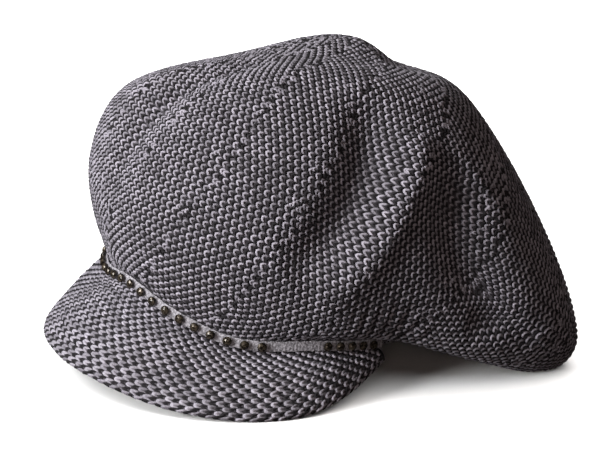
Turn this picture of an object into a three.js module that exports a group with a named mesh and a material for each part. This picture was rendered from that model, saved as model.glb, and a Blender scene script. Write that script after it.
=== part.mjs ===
// A knitted newsboy cap, lying on a flat surface with its head opening down.
// A full soft crown droops to the back and to the wearer's left. A head band closes round
// the head, a short stiff peak stands out from the front of it, and a narrow ribbon with
// small beads covers the joint of crown and peak.
//
// Millimetres, +Z up, z = 0 the surface that the cap lies on, the peak towards -Y and the
// wearer's left towards +X. A turn is an angle in degrees round the head: 0 is the front,
// 90 the wearer's left and 180 the back.

import * as THREE from "three";

// Driving dimensions: the head opening, measured at the seam of crown and peak
const HEAD_HALF_WIDTH = 83;
const HEAD_HALF_LENGTH = 93;
const SEAM_HEIGHT = 39;
const LEAN_TO_LEFT = 11;
const LEAN_TO_BACK = 1.5;

// Driving dimensions: the crown
const CROWN_TOP = new THREE.Vector3(9, 40, 172);
const KNIT_THICKNESS = 2.5;
const CROWN_CREST = [{ outShare: 0.14, dropShare: 0.03 }, { outShare: 0.42, dropShare: 0.3 }];
const FOLDED_SECTOR = { from: 36, to: 126, meridians: 22 };
const PLAIN_MERIDIANS = 38;
const CROWN_RINGS = 28;
const HEM_HEIGHT = 3.2;
const HEM_FADE_RINGS = 3;
const FOLD_PATH_STEPS = 12;

// Driving dimensions: the head band
const BAND_HEIGHT = 20;
const BAND_THICKNESS = 2.5;
const BAND_BELOW_SEAM = 3;
const BAND_GAP = 0.5;
const BAND_STEPS = 60;

// Driving dimensions: the peak
const PEAK_THICKNESS = 3.2;
const PEAK_ARCH = 3;
const PEAK_EDGE_ROUND = 1.2;
const PEAK_BELOW_SEAM = 2.2;
const PEAK_FULL_ARCH_WIDTH = 30;
const PEAK_TURN_STEPS = 36;
const PEAK_CROSS_STEPS = 6;

// Driving dimensions: the ribbon and its beads
const RIBBON_HEIGHT = 4.7;
const RIBBON_THICKNESS = 0.8;
const RIBBON_ABOVE_SEAM = 2.7;
const RIBBON_STEPS = 46;
const BEAD_DIAMETER = 4.6;
const BEAD_DEPTH = 3;
const BEAD_SIDES = 10;
const BEAD_BANDS = 5;
const BEAD_SEARCH_STEP = 0.25;
const TOUCH_GAP = 0.35;

// The crown's sections, a row for each turn round the head.
// Each meridian runs from the top over its shoulder and its widest place, under the foot
// where it lies or hangs lowest, and in to a short upright hem above the seam. Reaches are
// measured from the middle of the head opening. seamLift is the seam's height above its
// leaning plane.
const CROWN_SECTIONS = [
  { turn: -150, shoulderReach: 102, shoulderHeight: 140, wideReach: 155, wideHeight: 32,
    footReach: 125, footHeight: -4, seamLift: 0 },
  { turn: -120, shoulderReach: 94, shoulderHeight: 136, wideReach: 136, wideHeight: 42,
    footReach: 112, footHeight: -2, seamLift: 0 },
  { turn: -103, shoulderReach: 90, shoulderHeight: 133, wideReach: 123, wideHeight: 54,
    footReach: 108, footHeight: 26, seamLift: 0 },
  { turn: -88, shoulderReach: 89, shoulderHeight: 134, wideReach: 111, wideHeight: 76,
    footReach: 97, footHeight: 54, seamLift: -1 },
  { turn: -63, shoulderReach: 87, shoulderHeight: 137, wideReach: 103, wideHeight: 99,
    footReach: 95, footHeight: 57, seamLift: -3 },
  { turn: -37, shoulderReach: 77, shoulderHeight: 146, wideReach: 100, wideHeight: 97,
    footReach: 92, footHeight: 60, seamLift: -3 },
  { turn: -12, shoulderReach: 64, shoulderHeight: 152, wideReach: 103, wideHeight: 90,
    footReach: 98, footHeight: 58, seamLift: 4 },
  { turn: 10, shoulderReach: 60, shoulderHeight: 155, wideReach: 104, wideHeight: 85,
    footReach: 98, footHeight: 50, seamLift: 0 },
  { turn: 30, shoulderReach: 60, shoulderHeight: 157, wideReach: 102, wideHeight: 80,
    footReach: 96, footHeight: 42, seamLift: -3.5 },
  { turn: 60, shoulderReach: 62, shoulderHeight: 157, wideReach: 102, wideHeight: 78,
    footReach: 97, footHeight: 38, seamLift: 1.5 },
  { turn: 90, shoulderReach: 80, shoulderHeight: 152, wideReach: 116, wideHeight: 60,
    footReach: 99, footHeight: 27, seamLift: 1 },
  { turn: 110, shoulderReach: 93, shoulderHeight: 149, wideReach: 148, wideHeight: 36,
    footReach: 124, footHeight: 12, seamLift: 0 },
  { turn: 128, shoulderReach: 99, shoulderHeight: 147, wideReach: 171, wideHeight: 16,
    footReach: 152, footHeight: -3, seamLift: 0 },
  { turn: 150, shoulderReach: 103, shoulderHeight: 145, wideReach: 170, wideHeight: 20,
    footReach: 146, footHeight: -5, seamLift: 0 },
  { turn: 180, shoulderReach: 106, shoulderHeight: 142, wideReach: 165, wideHeight: 26,
    footReach: 134, footHeight: -5, seamLift: 0 },
];

// The crown's folds. Each follows a bowed path over the surface, given by a turn and by how
// far down the meridian it lies, 0 at the top and 1 at the seam. A positive lift is a ridge
// and a negative one a hollow.
const CROWN_FOLDS = [
  // Valley on the right of the front
  { from: [12, 0.25], middle: [-13, 0.52], to: [-20, 0.92], halfWidth: 15, lift: -3 },
  // Hollow before the ridge
  { from: [77, 0.36], middle: [67, 0.6], to: [42, 0.82], halfWidth: 14, lift: -12 },
  // Drooping ridge
  { from: [91, 0.42], middle: [79.5, 0.62], to: [51, 0.9], halfWidth: 10, lift: 6.5 },
  // Hollow behind the ridge
  { from: [105, 0.46], middle: [95.5, 0.63], to: [105, 0.8], halfWidth: 16, lift: -12 },
  // Dip beside the top
  { from: [100, 0.13], middle: [140, 0.11], to: [180, 0.13], halfWidth: 16, lift: -4 },
  // Pinch over the foot
  { from: [97, 0.82], middle: [105, 0.77], to: [113, 0.74], halfWidth: 9, lift: -4 },
  // Bulge over the foot
  { from: [112, 0.6], middle: [122, 0.7], to: [140, 0.74], halfWidth: 15, lift: 2 },
  // Soft fold at the back
  { from: [150, 0.24], middle: [170, 0.45], to: [178, 0.76], halfWidth: 22, lift: -5 },
  // Soft fold on the right
  { from: [-96, 0.22], middle: [-112, 0.5], to: [-110, 0.78], halfWidth: 20, lift: -5 },
];

// The peak's sections: how far its edge reaches past the seam, and the edge's height.
const PEAK_SECTIONS = [
  { turn: -84, reach: 5, edgeHeight: 46 },
  { turn: -70, reach: 12, edgeHeight: 34 },
  { turn: -55, reach: 23, edgeHeight: 23 },
  { turn: -40, reach: 31, edgeHeight: 19 },
  { turn: -20, reach: 40, edgeHeight: 18 },
  { turn: 0, reach: 46, edgeHeight: 14.5 },
  { turn: 20, reach: 44, edgeHeight: 6.5 },
  { turn: 38, reach: 38, edgeHeight: 2.85 },
  { turn: 52, reach: 30, edgeHeight: 3.8 },
  { turn: 66, reach: 18, edgeHeight: 9 },
  { turn: 76, reach: 10, edgeHeight: 14 },
  { turn: 86, reach: 4, edgeHeight: 17 },
];

// Runs of beads along the ribbon, with a bare stretch of ribbon between them
const BEAD_RUNS = [
  { from: 40.5, to: -80, spacing: 8.6 },
  { from: 62.5, to: 84, spacing: 6.9 },
];

// Geometry helpers

function radians(degrees) {
  return THREE.MathUtils.degToRad(degrees);
}

function outward(turn) {
  return new THREE.Vector3(Math.sin(radians(turn)), -Math.cos(radians(turn)), 0);
}

// The slope of a smooth curve through three neighbouring values
function slopeAt(before, here, after) {
  const slopeBefore = (here.value - before.value) / (here.turn - before.turn);
  const slopeAfter = (after.value - here.value) / (after.turn - here.turn);
  const share = (here.turn - before.turn) / (after.turn - before.turn);
  return slopeBefore * (1 - share) + slopeAfter * share;
}

// One column of a table of sections, read smoothly at any turn. A table of the whole round
// closes on itself, and an open one keeps its end values.
function column(rows, key, turn, isRound) {
  const values = rows.map((row) => ({ turn: row.turn, value: row[key] }));
  const last = values.length - 1;
  if (isRound) {
    const shifted = (entry, by) => ({ turn: entry.turn + by, value: entry.value });
    values.unshift(shifted(values[last - 1], -360), shifted(values[last], -360));
    values.push(shifted(values[2], 360), shifted(values[3], 360));
  } else {
    values.unshift({ turn: values[0].turn - 1, value: values[0].value });
    values.push({ turn: values[last + 1].turn + 1, value: values[last + 1].value });
  }
  let k = 1;
  while (k < values.length - 3 && turn > values[k + 1].turn) {
    k += 1;
  }
  const start = values[k];
  const end = values[k + 1];
  const span = end.turn - start.turn;
  const t = THREE.MathUtils.clamp((turn - start.turn) / span, 0, 1);
  const startSlope = slopeAt(values[k - 1], start, end) * span;
  const endSlope = slopeAt(start, end, values[k + 2]) * span;
  const rise = end.value - start.value;
  return start.value + t * (startSlope + t * (3 * rise - 2 * startSlope - endSlope
    + t * (startSlope + endSlope - 2 * rise)));
}

// A closed solid skinned over loops of equal length. The ends close on a point each, or the
// last loop joins the first.
function skinned(loops, startPoint, endPoint) {
  const count = loops[0].length;
  const points = loops.flat();
  const triangles = [];
  const joinedLoops = startPoint ? loops.length - 1 : loops.length;
  for (let i = 0; i < joinedLoops; i += 1) {
    for (let j = 0; j < count; j += 1) {
      const a = i * count + j;
      const b = i * count + ((j + 1) % count);
      const c = ((i + 1) % loops.length) * count + ((j + 1) % count);
      const d = ((i + 1) % loops.length) * count + j;
      if (points[a].distanceTo(points[c]) <= points[b].distanceTo(points[d])) {
        triangles.push([a, b, c], [a, c, d]);
      } else {
        triangles.push([a, b, d], [b, c, d]);
      }
    }
  }
  if (startPoint) {
    const lastLoop = (loops.length - 1) * count;
    const start = points.push(startPoint) - 1;
    const end = points.push(endPoint) - 1;
    for (let j = 0; j < count; j += 1) {
      const next = (j + 1) % count;
      triangles.push([start, next, j], [end, lastLoop + j, lastLoop + next]);
    }
  }
  return solidGeometry(points, triangles);
}

// A geometry from shared points and triangles, turned so that its faces point outwards
function solidGeometry(points, triangles) {
  let volume = 0;
  for (const [a, b, c] of triangles) {
    volume += points[a].dot(new THREE.Vector3().crossVectors(points[b], points[c]));
  }
  const faces = volume > 0 ? triangles : triangles.map(([a, b, c]) => [a, c, b]);
  const geometry = new THREE.BufferGeometry().setFromPoints(points);
  geometry.setIndex(faces.flat());
  geometry.computeVertexNormals();
  return geometry;
}

// The seam of crown and peak, on a leaning oval round the head
function seamPoint(turn) {
  const x = HEAD_HALF_WIDTH * Math.sin(radians(turn));
  const y = -HEAD_HALF_LENGTH * Math.cos(radians(turn));
  const lean = -Math.tan(radians(LEAN_TO_LEFT)) * x - Math.tan(radians(LEAN_TO_BACK)) * y;
  return new THREE.Vector3(x, y, SEAM_HEIGHT + lean + column(CROWN_SECTIONS, "seamLift", turn, true));
}

// A point beside the seam: past it by `out`, away from the head, and above it by `up`
function besideSeam(turn, out, up) {
  const along = seamPoint(turn + 1).sub(seamPoint(turn - 1)).setZ(0).normalize();
  const away = new THREE.Vector3(along.y, -along.x, 0);
  return seamPoint(turn).addScaledVector(away, out).add(new THREE.Vector3(0, 0, up));
}

// Crown

function crownMeridian(turn) {
  const at = (key) => column(CROWN_SECTIONS, key, turn, true);
  const placed = (reach, height) => outward(turn).multiplyScalar(reach).setZ(height);
  const shoulder = placed(at("shoulderReach"), at("shoulderHeight"));
  const crest = CROWN_CREST.map(({ outShare, dropShare }) => {
    const height = CROWN_TOP.z - (CROWN_TOP.z - shoulder.z) * dropShare;
    return CROWN_TOP.clone().lerp(shoulder, outShare).setZ(height);
  });
  const wide = placed(at("wideReach"), at("wideHeight"));
  const foot = placed(at("footReach"), at("footHeight"));
  const hem = besideSeam(turn, 0, HEM_HEIGHT);
  const stations = [CROWN_TOP, ...crest, shoulder, wide, foot, hem];
  return new THREE.CatmullRomCurve3(stations, false, "centripetal");
}

function foldPath(fold) {
  const bend = [0, 1].map((k) => 2 * fold.middle[k] - (fold.from[k] + fold.to[k]) / 2);
  const route = new THREE.QuadraticBezierCurve(
    new THREE.Vector2(...fold.from), new THREE.Vector2(...bend), new THREE.Vector2(...fold.to));
  return route.getPoints(FOLD_PATH_STEPS)
    .map((place) => crownMeridian(place.x).getPointAt(place.y));
}

// A fold's lift at a point: full in the middle of its path, fading to its ends and sides
function foldLift(fold, path, point) {
  let distance = Infinity;
  let share = 0;
  for (let i = 0; i < path.length - 1; i += 1) {
    const piece = new THREE.Line3(path[i], path[i + 1]);
    const along = piece.closestPointToPointParameter(point, true);
    const away = piece.at(along, new THREE.Vector3()).distanceTo(point);
    if (away < distance) {
      distance = away;
      share = (i + along) / (path.length - 1);
    }
  }
  const fade = 1 - Math.abs(2 * share - 1) ** 3;
  return fold.lift * fade * Math.exp(-((distance / fold.halfWidth) ** 2));
}

// Normals of a surface given as rings from the top down, each ring closed
function ringNormals(rings) {
  return rings.map((ring, i) => ring.map((point, j) => {
    const above = i === 0 ? CROWN_TOP : rings[i - 1][j];
    const below = rings[Math.min(i + 1, rings.length - 1)][j];
    const before = ring[(j + ring.length - 1) % ring.length];
    const after = ring[(j + 1) % ring.length];
    const down = below.clone().sub(above);
    return down.cross(after.clone().sub(before)).normalize();
  }));
}

// Turns of the meridians, closer together where the folds lie
function crownTurns() {
  const { from, to, meridians } = FOLDED_SECTOR;
  const turns = [];
  for (let j = 0; j < meridians; j += 1) {
    turns.push(from + ((to - from) * j) / meridians);
  }
  for (let j = 0; j < PLAIN_MERIDIANS; j += 1) {
    turns.push(to + ((360 - to + from) * j) / PLAIN_MERIDIANS);
  }
  return turns.map((turn) => (turn > 180 ? turn - 360 : turn));
}

function crownOuterRings() {
  const meridians = crownTurns().map((turn) => [
    ...crownMeridian(turn).getSpacedPoints(CROWN_RINGS - 1).slice(1), seamPoint(turn)]);
  const rings = meridians[0].map((_, i) => meridians.map((meridian) => meridian[i]));
  const normals = ringNormals(rings);
  const paths = CROWN_FOLDS.map(foldPath);
  return rings.map((ring, i) => ring.map((point, j) => {
    const hemShare = THREE.MathUtils.clamp((CROWN_RINGS - 2 - i) / HEM_FADE_RINGS, 0, 1);
    let lift = 0;
    CROWN_FOLDS.forEach((fold, k) => {
      lift += foldLift(fold, paths[k], point);
    });
    const moved = point.clone().addScaledVector(normals[i][j], lift * hemShare);
    return moved.setZ(Math.max(moved.z, 0));
  }));
}

function crownGeometry() {
  const outer = crownOuterRings();
  const normals = ringNormals(outer);
  const inner = outer.map((ring, i) => ring.map(
    (point, j) => point.clone().addScaledVector(normals[i][j], -KNIT_THICKNESS)));
  const innerTop = CROWN_TOP.clone();
  innerTop.z -= KNIT_THICKNESS;
  return skinned([...outer, ...inner.reverse()], CROWN_TOP.clone(), innerTop);
}

// Head band

function headBandGeometry() {
  const outerFace = -KNIT_THICKNESS - BAND_GAP;
  const innerFace = outerFace - BAND_THICKNESS;
  const sections = [];
  for (let i = 0; i < BAND_STEPS; i += 1) {
    const turn = -180 + (360 * i) / BAND_STEPS;
    sections.push([
      besideSeam(turn, outerFace, -BAND_BELOW_SEAM),
      besideSeam(turn, outerFace, BAND_HEIGHT - BAND_BELOW_SEAM),
      besideSeam(turn, innerFace, BAND_HEIGHT - BAND_BELOW_SEAM),
      besideSeam(turn, innerFace, -BAND_BELOW_SEAM),
    ]);
  }
  return skinned(sections);
}

// Peak

function peakSection(turn) {
  const at = (key) => column(PEAK_SECTIONS, key, turn, false);
  const root = besideSeam(turn, TOUCH_GAP - KNIT_THICKNESS - BAND_GAP, -PEAK_BELOW_SEAM);
  const edge = besideSeam(turn, at("reach"), 0).setZ(at("edgeHeight"));
  const across = edge.clone().sub(root);
  const along = besideSeam(turn + 1, 0, 0).sub(besideSeam(turn - 1, 0, 0));
  const upward = new THREE.Vector3().crossVectors(across, along).normalize();
  upward.multiplyScalar(Math.sign(upward.z));
  const top = [];
  const bottom = [];
  const archHeight = PEAK_ARCH * Math.min(1, across.length() / PEAK_FULL_ARCH_WIDTH);
  for (let k = 0; k <= PEAK_CROSS_STEPS; k += 1) {
    const share = k / PEAK_CROSS_STEPS;
    const arch = archHeight * Math.sin(Math.PI * share);
    const point = root.clone().addScaledVector(across, share).addScaledVector(upward, arch);
    const thickness = new THREE.Vector3(0, 0, PEAK_THICKNESS)
      .lerp(upward.clone().multiplyScalar(PEAK_THICKNESS), share);
    top.push(point);
    bottom.unshift(point.clone().sub(thickness));
  }
  const rim = top[top.length - 1].clone().lerp(bottom[0], 0.5);
  rim.addScaledVector(across.normalize(), PEAK_EDGE_ROUND);
  return [...top, rim, ...bottom];
}

function peakGeometry() {
  const firstTurn = PEAK_SECTIONS[0].turn;
  const lastTurn = PEAK_SECTIONS[PEAK_SECTIONS.length - 1].turn;
  const sections = [];
  for (let i = 0; i <= PEAK_TURN_STEPS; i += 1) {
    sections.push(peakSection(firstTurn + ((lastTurn - firstTurn) * i) / PEAK_TURN_STEPS));
  }
  return skinned(sections, middleOf(sections[0]), middleOf(sections[sections.length - 1]));
}

function middleOf(points) {
  const middle = new THREE.Vector3();
  points.forEach((point) => middle.add(point));
  return middle.divideScalar(points.length);
}

// Trim ribbon and beads

function ribbonGeometry() {
  const firstTurn = PEAK_SECTIONS[0].turn;
  const lastTurn = PEAK_SECTIONS[PEAK_SECTIONS.length - 1].turn;
  const top = RIBBON_ABOVE_SEAM;
  const bottom = RIBBON_ABOVE_SEAM - RIBBON_HEIGHT;
  const sections = [];
  for (let i = 0; i <= RIBBON_STEPS; i += 1) {
    const turn = firstTurn + ((lastTurn - firstTurn) * i) / RIBBON_STEPS;
    sections.push([
      besideSeam(turn, TOUCH_GAP, bottom),
      besideSeam(turn, TOUCH_GAP + RIBBON_THICKNESS, bottom),
      besideSeam(turn, TOUCH_GAP + RIBBON_THICKNESS, top),
      besideSeam(turn, TOUCH_GAP, top),
    ]);
  }
  return skinned(sections, middleOf(sections[0]), middleOf(sections[sections.length - 1]));
}

// Turns of one run of beads, evenly spaced along the seam
function runTurns(run) {
  const step = Math.sign(run.to - run.from) * BEAD_SEARCH_STEP;
  const turns = [run.from];
  let covered = 0;
  for (let turn = run.from; Math.abs(turn - run.to) > BEAD_SEARCH_STEP; turn += step) {
    covered += seamPoint(turn).distanceTo(seamPoint(turn + step));
    if (covered >= run.spacing) {
      turns.push(turn + step);
      covered = 0;
    }
  }
  return turns;
}

const fabric = new THREE.MeshStandardMaterial({ color: 0x54504f, roughness: 0.95, metalness: 0 });
const ribbonCloth = new THREE.MeshStandardMaterial({ color: 0x9a979a, roughness: 0.7, metalness: 0 });
const beadMetal = new THREE.MeshStandardMaterial({ color: 0x4a4438, roughness: 0.25, metalness: 0.9 });

function named(name, geometry, material) {
  const mesh = new THREE.Mesh(geometry, material);
  mesh.name = name;
  return mesh;
}

function beads() {
  const outwards = TOUCH_GAP * 2 + RIBBON_THICKNESS + BEAD_DEPTH / 2;
  const upwards = RIBBON_ABOVE_SEAM - RIBBON_HEIGHT / 2;
  return BEAD_RUNS.flatMap(runTurns).map((turn, index) => {
    const shape = new THREE.SphereGeometry(BEAD_DIAMETER / 2, BEAD_SIDES, BEAD_BANDS);
    shape.scale(1, BEAD_DEPTH / BEAD_DIAMETER, 1);
    const bead = named(`bead_${String(index + 1).padStart(2, "0")}`, shape, beadMetal);
    bead.position.copy(besideSeam(turn, outwards, upwards));
    bead.rotation.z = radians(turn);
    return bead;
  });
}

const cap = new THREE.Group();
cap.add(named("crown", crownGeometry(), fabric));
cap.add(named("head_band", headBandGeometry(), fabric));
cap.add(named("peak", peakGeometry(), fabric));
cap.add(named("trim_ribbon", ribbonGeometry(), ribbonCloth));
cap.add(...beads());

// The cap stands with the middle of its length and width over the origin
cap.updateMatrixWorld(true);
const extent = new THREE.Box3().setFromObject(cap, true);
const middle = extent.getCenter(new THREE.Vector3());
cap.position.set(-middle.x, -middle.y, -extent.min.z);

export default cap;
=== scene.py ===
import itertools
import math

import bmesh
import bpy
import numpy as np
from bpy.props import FloatProperty, FloatVectorProperty, IntProperty, PointerProperty
from mathutils import Matrix, Vector


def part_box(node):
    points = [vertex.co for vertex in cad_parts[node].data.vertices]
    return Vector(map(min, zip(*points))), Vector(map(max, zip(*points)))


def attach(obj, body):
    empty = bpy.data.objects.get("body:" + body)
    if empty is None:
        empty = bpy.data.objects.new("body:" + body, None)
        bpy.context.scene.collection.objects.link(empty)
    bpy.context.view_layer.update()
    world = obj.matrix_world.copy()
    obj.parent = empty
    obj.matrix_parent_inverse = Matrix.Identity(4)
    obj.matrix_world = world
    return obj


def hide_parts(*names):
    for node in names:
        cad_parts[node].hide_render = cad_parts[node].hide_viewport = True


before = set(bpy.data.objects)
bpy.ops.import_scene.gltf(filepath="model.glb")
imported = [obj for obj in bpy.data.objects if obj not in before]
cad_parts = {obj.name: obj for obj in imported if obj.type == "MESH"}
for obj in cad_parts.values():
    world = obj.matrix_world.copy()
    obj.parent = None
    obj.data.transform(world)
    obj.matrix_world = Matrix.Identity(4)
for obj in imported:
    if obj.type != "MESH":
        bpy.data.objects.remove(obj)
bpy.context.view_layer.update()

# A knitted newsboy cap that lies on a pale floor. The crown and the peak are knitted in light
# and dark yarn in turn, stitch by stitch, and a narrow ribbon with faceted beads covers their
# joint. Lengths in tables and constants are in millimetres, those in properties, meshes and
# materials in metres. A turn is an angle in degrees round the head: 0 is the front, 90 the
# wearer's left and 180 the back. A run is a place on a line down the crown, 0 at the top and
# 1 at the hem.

bl_info = {
    "name": "Knitted newsboy cap",
    "version": (1, 0, 0),
    "blender": (4, 5, 0),
    "location": "View3D > Sidebar > Cap",
    "description": "Builds a knitted newsboy cap with a beaded ribbon, piece by piece",
    "category": "Object",
}

BODY = "root"
MM = 0.001

# The head opening at the seam of crown and peak, as in the part's source
HEAD_HALF_WIDTH = 83.0
HEAD_HALF_LENGTH = 93.0
SEAM_HEIGHT = 39.0
LEAN_TO_LEFT = 11.0
LEAN_TO_BACK = 1.5

# The crown, as in the part's source
CROWN_TOP = np.array([9.0, 40.0, 172.0])
CROWN_CREST = ((0.14, 0.03), (0.42, 0.3))
HEM_HEIGHT = 3.2
KNIT_THICKNESS = 2.5
CROWN_SECTIONS = np.array([
    (-150, 102, 140, 155, 32, 125, -4, 0),
    (-120, 94, 136, 136, 42, 112, -2, 0),
    (-103, 90, 133, 123, 54, 108, 26, 0),
    (-88, 89, 134, 111, 76, 97, 54, -1),
    (-63, 87, 137, 103, 99, 95, 57, -3),
    (-37, 77, 146, 100, 97, 92, 60, -3),
    (-12, 64, 152, 103, 90, 98, 58, 4),
    (10, 60, 155, 104, 85, 98, 50, 0),
    (30, 60, 157, 102, 80, 96, 42, -3.5),
    (60, 62, 157, 102, 78, 97, 38, 1.5),
    (90, 80, 152, 116, 60, 99, 27, 1),
    (110, 93, 149, 148, 36, 124, 12, 0),
    (128, 99, 147, 171, 16, 152, -3, 0),
    (150, 103, 145, 170, 20, 146, -5, 0),
    (180, 106, 142, 165, 26, 134, -5, 0),
], dtype=[("turn", float), ("shoulder_reach", float), ("shoulder_height", float),
          ("wide_reach", float), ("wide_height", float), ("foot_reach", float),
          ("foot_height", float), ("seam_lift", float)])

# The crown's folds, as in the part's source: a bowed path through three places of
# (turn, run), half its width, and its lift, a ridge if positive
CROWN_FOLDS = (
    ((12, 0.25), (-13, 0.52), (-20, 0.92), 15, -3),
    ((77, 0.36), (67, 0.6), (42, 0.82), 14, -12),
    ((91, 0.42), (79.5, 0.62), (51, 0.9), 10, 6.5),
    ((105, 0.46), (95.5, 0.63), (105, 0.8), 16, -12),
    ((100, 0.13), (140, 0.11), (180, 0.13), 16, -4),
    ((97, 0.82), (105, 0.77), (113, 0.74), 9, -4),
    ((112, 0.6), (122, 0.7), (140, 0.74), 15, 2),
    ((150, 0.24), (170, 0.45), (178, 0.76), 22, -5),
    ((-96, 0.22), (-112, 0.5), (-110, 0.78), 20, -5),
)
# Small gathers and a crease of the knit, finer than the folds: a path, half its width and a
# height as above, and then how many ripples stand along the path and where in a ripple it
# begins. The crease is a quarter of one ripple, about its deepest place.
CROWN_GATHERS = (
    ((8, 0.24), (-13, 0.48), (-19, 0.78), 9, 0.65, 12, 0),
    ((12, 0.25), (-13, 0.50), (-19, 0.82), 6, -2.2, 0.25, 0.125),
    ((60, 0.9), (80, 0.9), (102, 0.9), 8, 0.8, 9, 0),
)
# In how many steps a fold's path is followed, and over what share of a run the folds fade
# out above the hem
FOLD_PATH_STEPS = 12
FOLD_FREE_HEM = 0.111

# The head band: its gap to the crown's wall, its thickness and its edges' heights over the
# seam, as in the part's source, how square it is in thickness and in height, and how finely
# it is made
BAND_GAP = 0.5
BAND_THICKNESS = 2.5
BAND_LOW = -3.0
BAND_HIGH = 17.0
BAND_SQUARENESS = (0.5, 0.35)
BAND_TURNS = 240
BAND_RING_POINTS = 24

# The peak, as in the part's source
PEAK_THICKNESS = 3.2
PEAK_ARCH = 3.0
PEAK_FULL_ARCH_WIDTH = 30.0
PEAK_BELOW_SEAM = 2.2
ROOT_INSET = 2.65
PEAK_SECTIONS = np.array([
    (-84, 5, 46),
    (-70, 12, 34),
    (-55, 23, 23),
    (-40, 31, 19),
    (-20, 40, 18),
    (0, 46, 14.5),
    (20, 44, 6.5),
    (38, 38, 2.85),
    (52, 30, 3.8),
    (66, 18, 9),
    (76, 10, 14),
    (86, 4, 17),
], dtype=[("turn", float), ("reach", float), ("edge_height", float)])

# The peak's rim: the places round it, both its corners among them, and how far it bulges, as
# a share of a half circle
PEAK_RIM_PLACES = 9
PEAK_RIM_BULGE = 0.75

# The ribbon: its upper edge over the seam, its middle past the seam, half its thickness, how
# square it is, the waves of its edges, each a height, a pace and a start, and how finely it
# is made
RIBBON_ABOVE_SEAM = 2.9
RIBBON_MIDDLE = 0.75
RIBBON_HALF_THICKNESS = 0.45
RIBBON_SQUARENESS = 0.6
RIBBON_WAVES = ((0.12, 0.9, 0), (0.1, 2.3, 1))
RIBBON_TURNS = 401
RIBBON_RING_POINTS = 16

# The ribbon in the part's source: its outer face past the seam and its places along it
SOURCE_RIBBON_OUT = 1.15
SOURCE_RIBBON_PLACES = 47

# A bead: the rows of corners of its facets, as depth and radius, the dark rim's first
BEAD_ROWS = ((-1.45, 1.7), (-0.6, 2.35), (0.1, 2.55), (0.75, 2.2), (1.25, 1.55), (1.55, 0.8))
BEAD_SIDES = 9
BEAD_RIM_ROWS = 2

# The knit's gores: the turn of each one's middle line halfway down, and how far that line
# moves round from the top to the hem, a mean with a sway that is strongest at one turn
GORE_STARTS = np.array([-152, -125, -96, -70, -46, -21, 9, 44, 75, 98, 117, 136, 157, 181])
GORE_COUNT = len(GORE_STARTS)
GORE_SLANT = -58
GORE_SLANT_SWAY = 28
GORE_SLANT_TURN = 63
GORE_SLANTS = GORE_SLANT - GORE_SLANT_SWAY * np.cos(2 * np.radians(GORE_STARTS - GORE_SLANT_TURN))

# How far each gore reaches past its borders, in degrees at the hem and more towards the top,
# and the run at which this stops growing. How far its rows reach to each side. In how many
# steps its middle line is followed, over what share of the surface past the hem, and from
# which run.
GORE_OVERLAP = 1.7
GORE_OVERLAP_RUN = 0.1
GORE_HALF_WIDTH = 75
GORE_LINE_STEPS = 600
GORE_LINE_SHARE = 0.9
POLE_RUN = 0.006

# The last run that has stitches, and how far the surface is carried on past the hem
LAST_RUN = 1.008
GORE_EXTRA_RUN = 0.3

# In steps of the knit, the room that a stitch needs, and how far off its neighbours count
STITCH_ROOM = 0.56
STITCH_REACH = 1.2

# How finely the crown's surface is worked out
SURFACE_TURNS = 480
SURFACE_RUNS = 200
SURFACE_CURVE_STEPS = 24

# A stitch: the places of the hairpin's ends and of the handles of its bend, as shares of its
# length, its width and the yarn's width, the yarn's thickness at its ends and what its middle
# has more, and how far a stitch may be squeezed or stretched
LOOP_END = (0.85, 0.5, -0.42)
LOOP_BEND = (-0.6, 0.22, 0.12)
LOOP_THICKNESS = (0.7, 0.3)
STITCH_SIZES = (0.6, 1.5)

# The light and the dark stitch, on the crown and on the peak: their length, and the sides and
# the steps of each one's yarn, which is thicker on the peak by a share
CROWN_LOOP_LENGTH = 2.8
CROWN_LOOP_SIDES = 4
CROWN_LOOP_STEPS = (6, 4)
PEAK_LOOP_LENGTH = 5.6
PEAK_LOOP_SIDES_AND_STEPS = ((5, 7), (4, 6))
PEAK_YARN_SHARE = 1.22

# How deep a stitch's middle lies: a share of the yarn's width, on the crown less a distance
CROWN_SEAT_SHARE = 0.55
CROWN_SEAT_LIFT = 0.35
PEAK_SEAT_SHARE = 0.45

# The peak's knit: rows to each side of its rim, bare space at its root, and how finely its
# outline is worked out along it and across it
PEAK_ROWS = 20
PEAK_BARE_ROOT = 1.2
PEAK_FINE_TURNS = 400
PEAK_COARSE_STEPS = 9
PEAK_FINE_STEPS = 41

# The cloth under the stitches: its depth, how finely it is made, the height of its inner side
# over the floor, and the lengths of the crown and its hem on which its pattern is laid out
CROWN_CLOTH_DEPTH = 0.9
CROWN_CLOTH_TURNS = 150
CROWN_CLOTH_RUNS = 70
CROWN_CLOTH_INNER_HEIGHT = 0.6
CROWN_PATTERN_LENGTH = 210
CROWN_PATTERN_HEM = 2
PEAK_CLOTH_DEPTH = 0.75
PEAK_CLOTH_TURNS = 121
PEAK_CLOTH_STEPS = 19

# How high the stitches stay over the floor
FLOOR_GAP = 0.1

# The finish of wool, what noise mostly keeps to, and the beads' finish: the darkest and the
# brightest share of their colour, as painted glints, the roughness of stone and rim, and how far it
# strays
WOOL_FINISH = {"Roughness": 0.85, "Specular IOR Level": 0.25, "Sheen Weight": 0.08,
               "Sheen Roughness": 0.45, "Sheen Tint": (0.75, 0.73, 0.78, 1)}
NOISE_SPAN = (0.3, 0.7)
BEAD_GLINT_SHADES = (0.25, 2)
STONE_ROUGHNESS = 0.12
RIM_ROUGHNESS = 0.3
BEAD_ROUGHNESS_SHARES = (0.7, 1.4)

# The places of a mix node's sockets for colours, and of a random value's for plain numbers
MIX_FACTOR, MIX_FIRST, MIX_SECOND = 0, 6, 7
MIX_RESULT = 2
RANDOM_LEAST, RANDOM_MOST = 2, 3
RANDOM_RESULT = 1

# What keeps a division from zero
LEAST_LENGTH = 1e-9
LEAST_AREA = 1e-6

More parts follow.
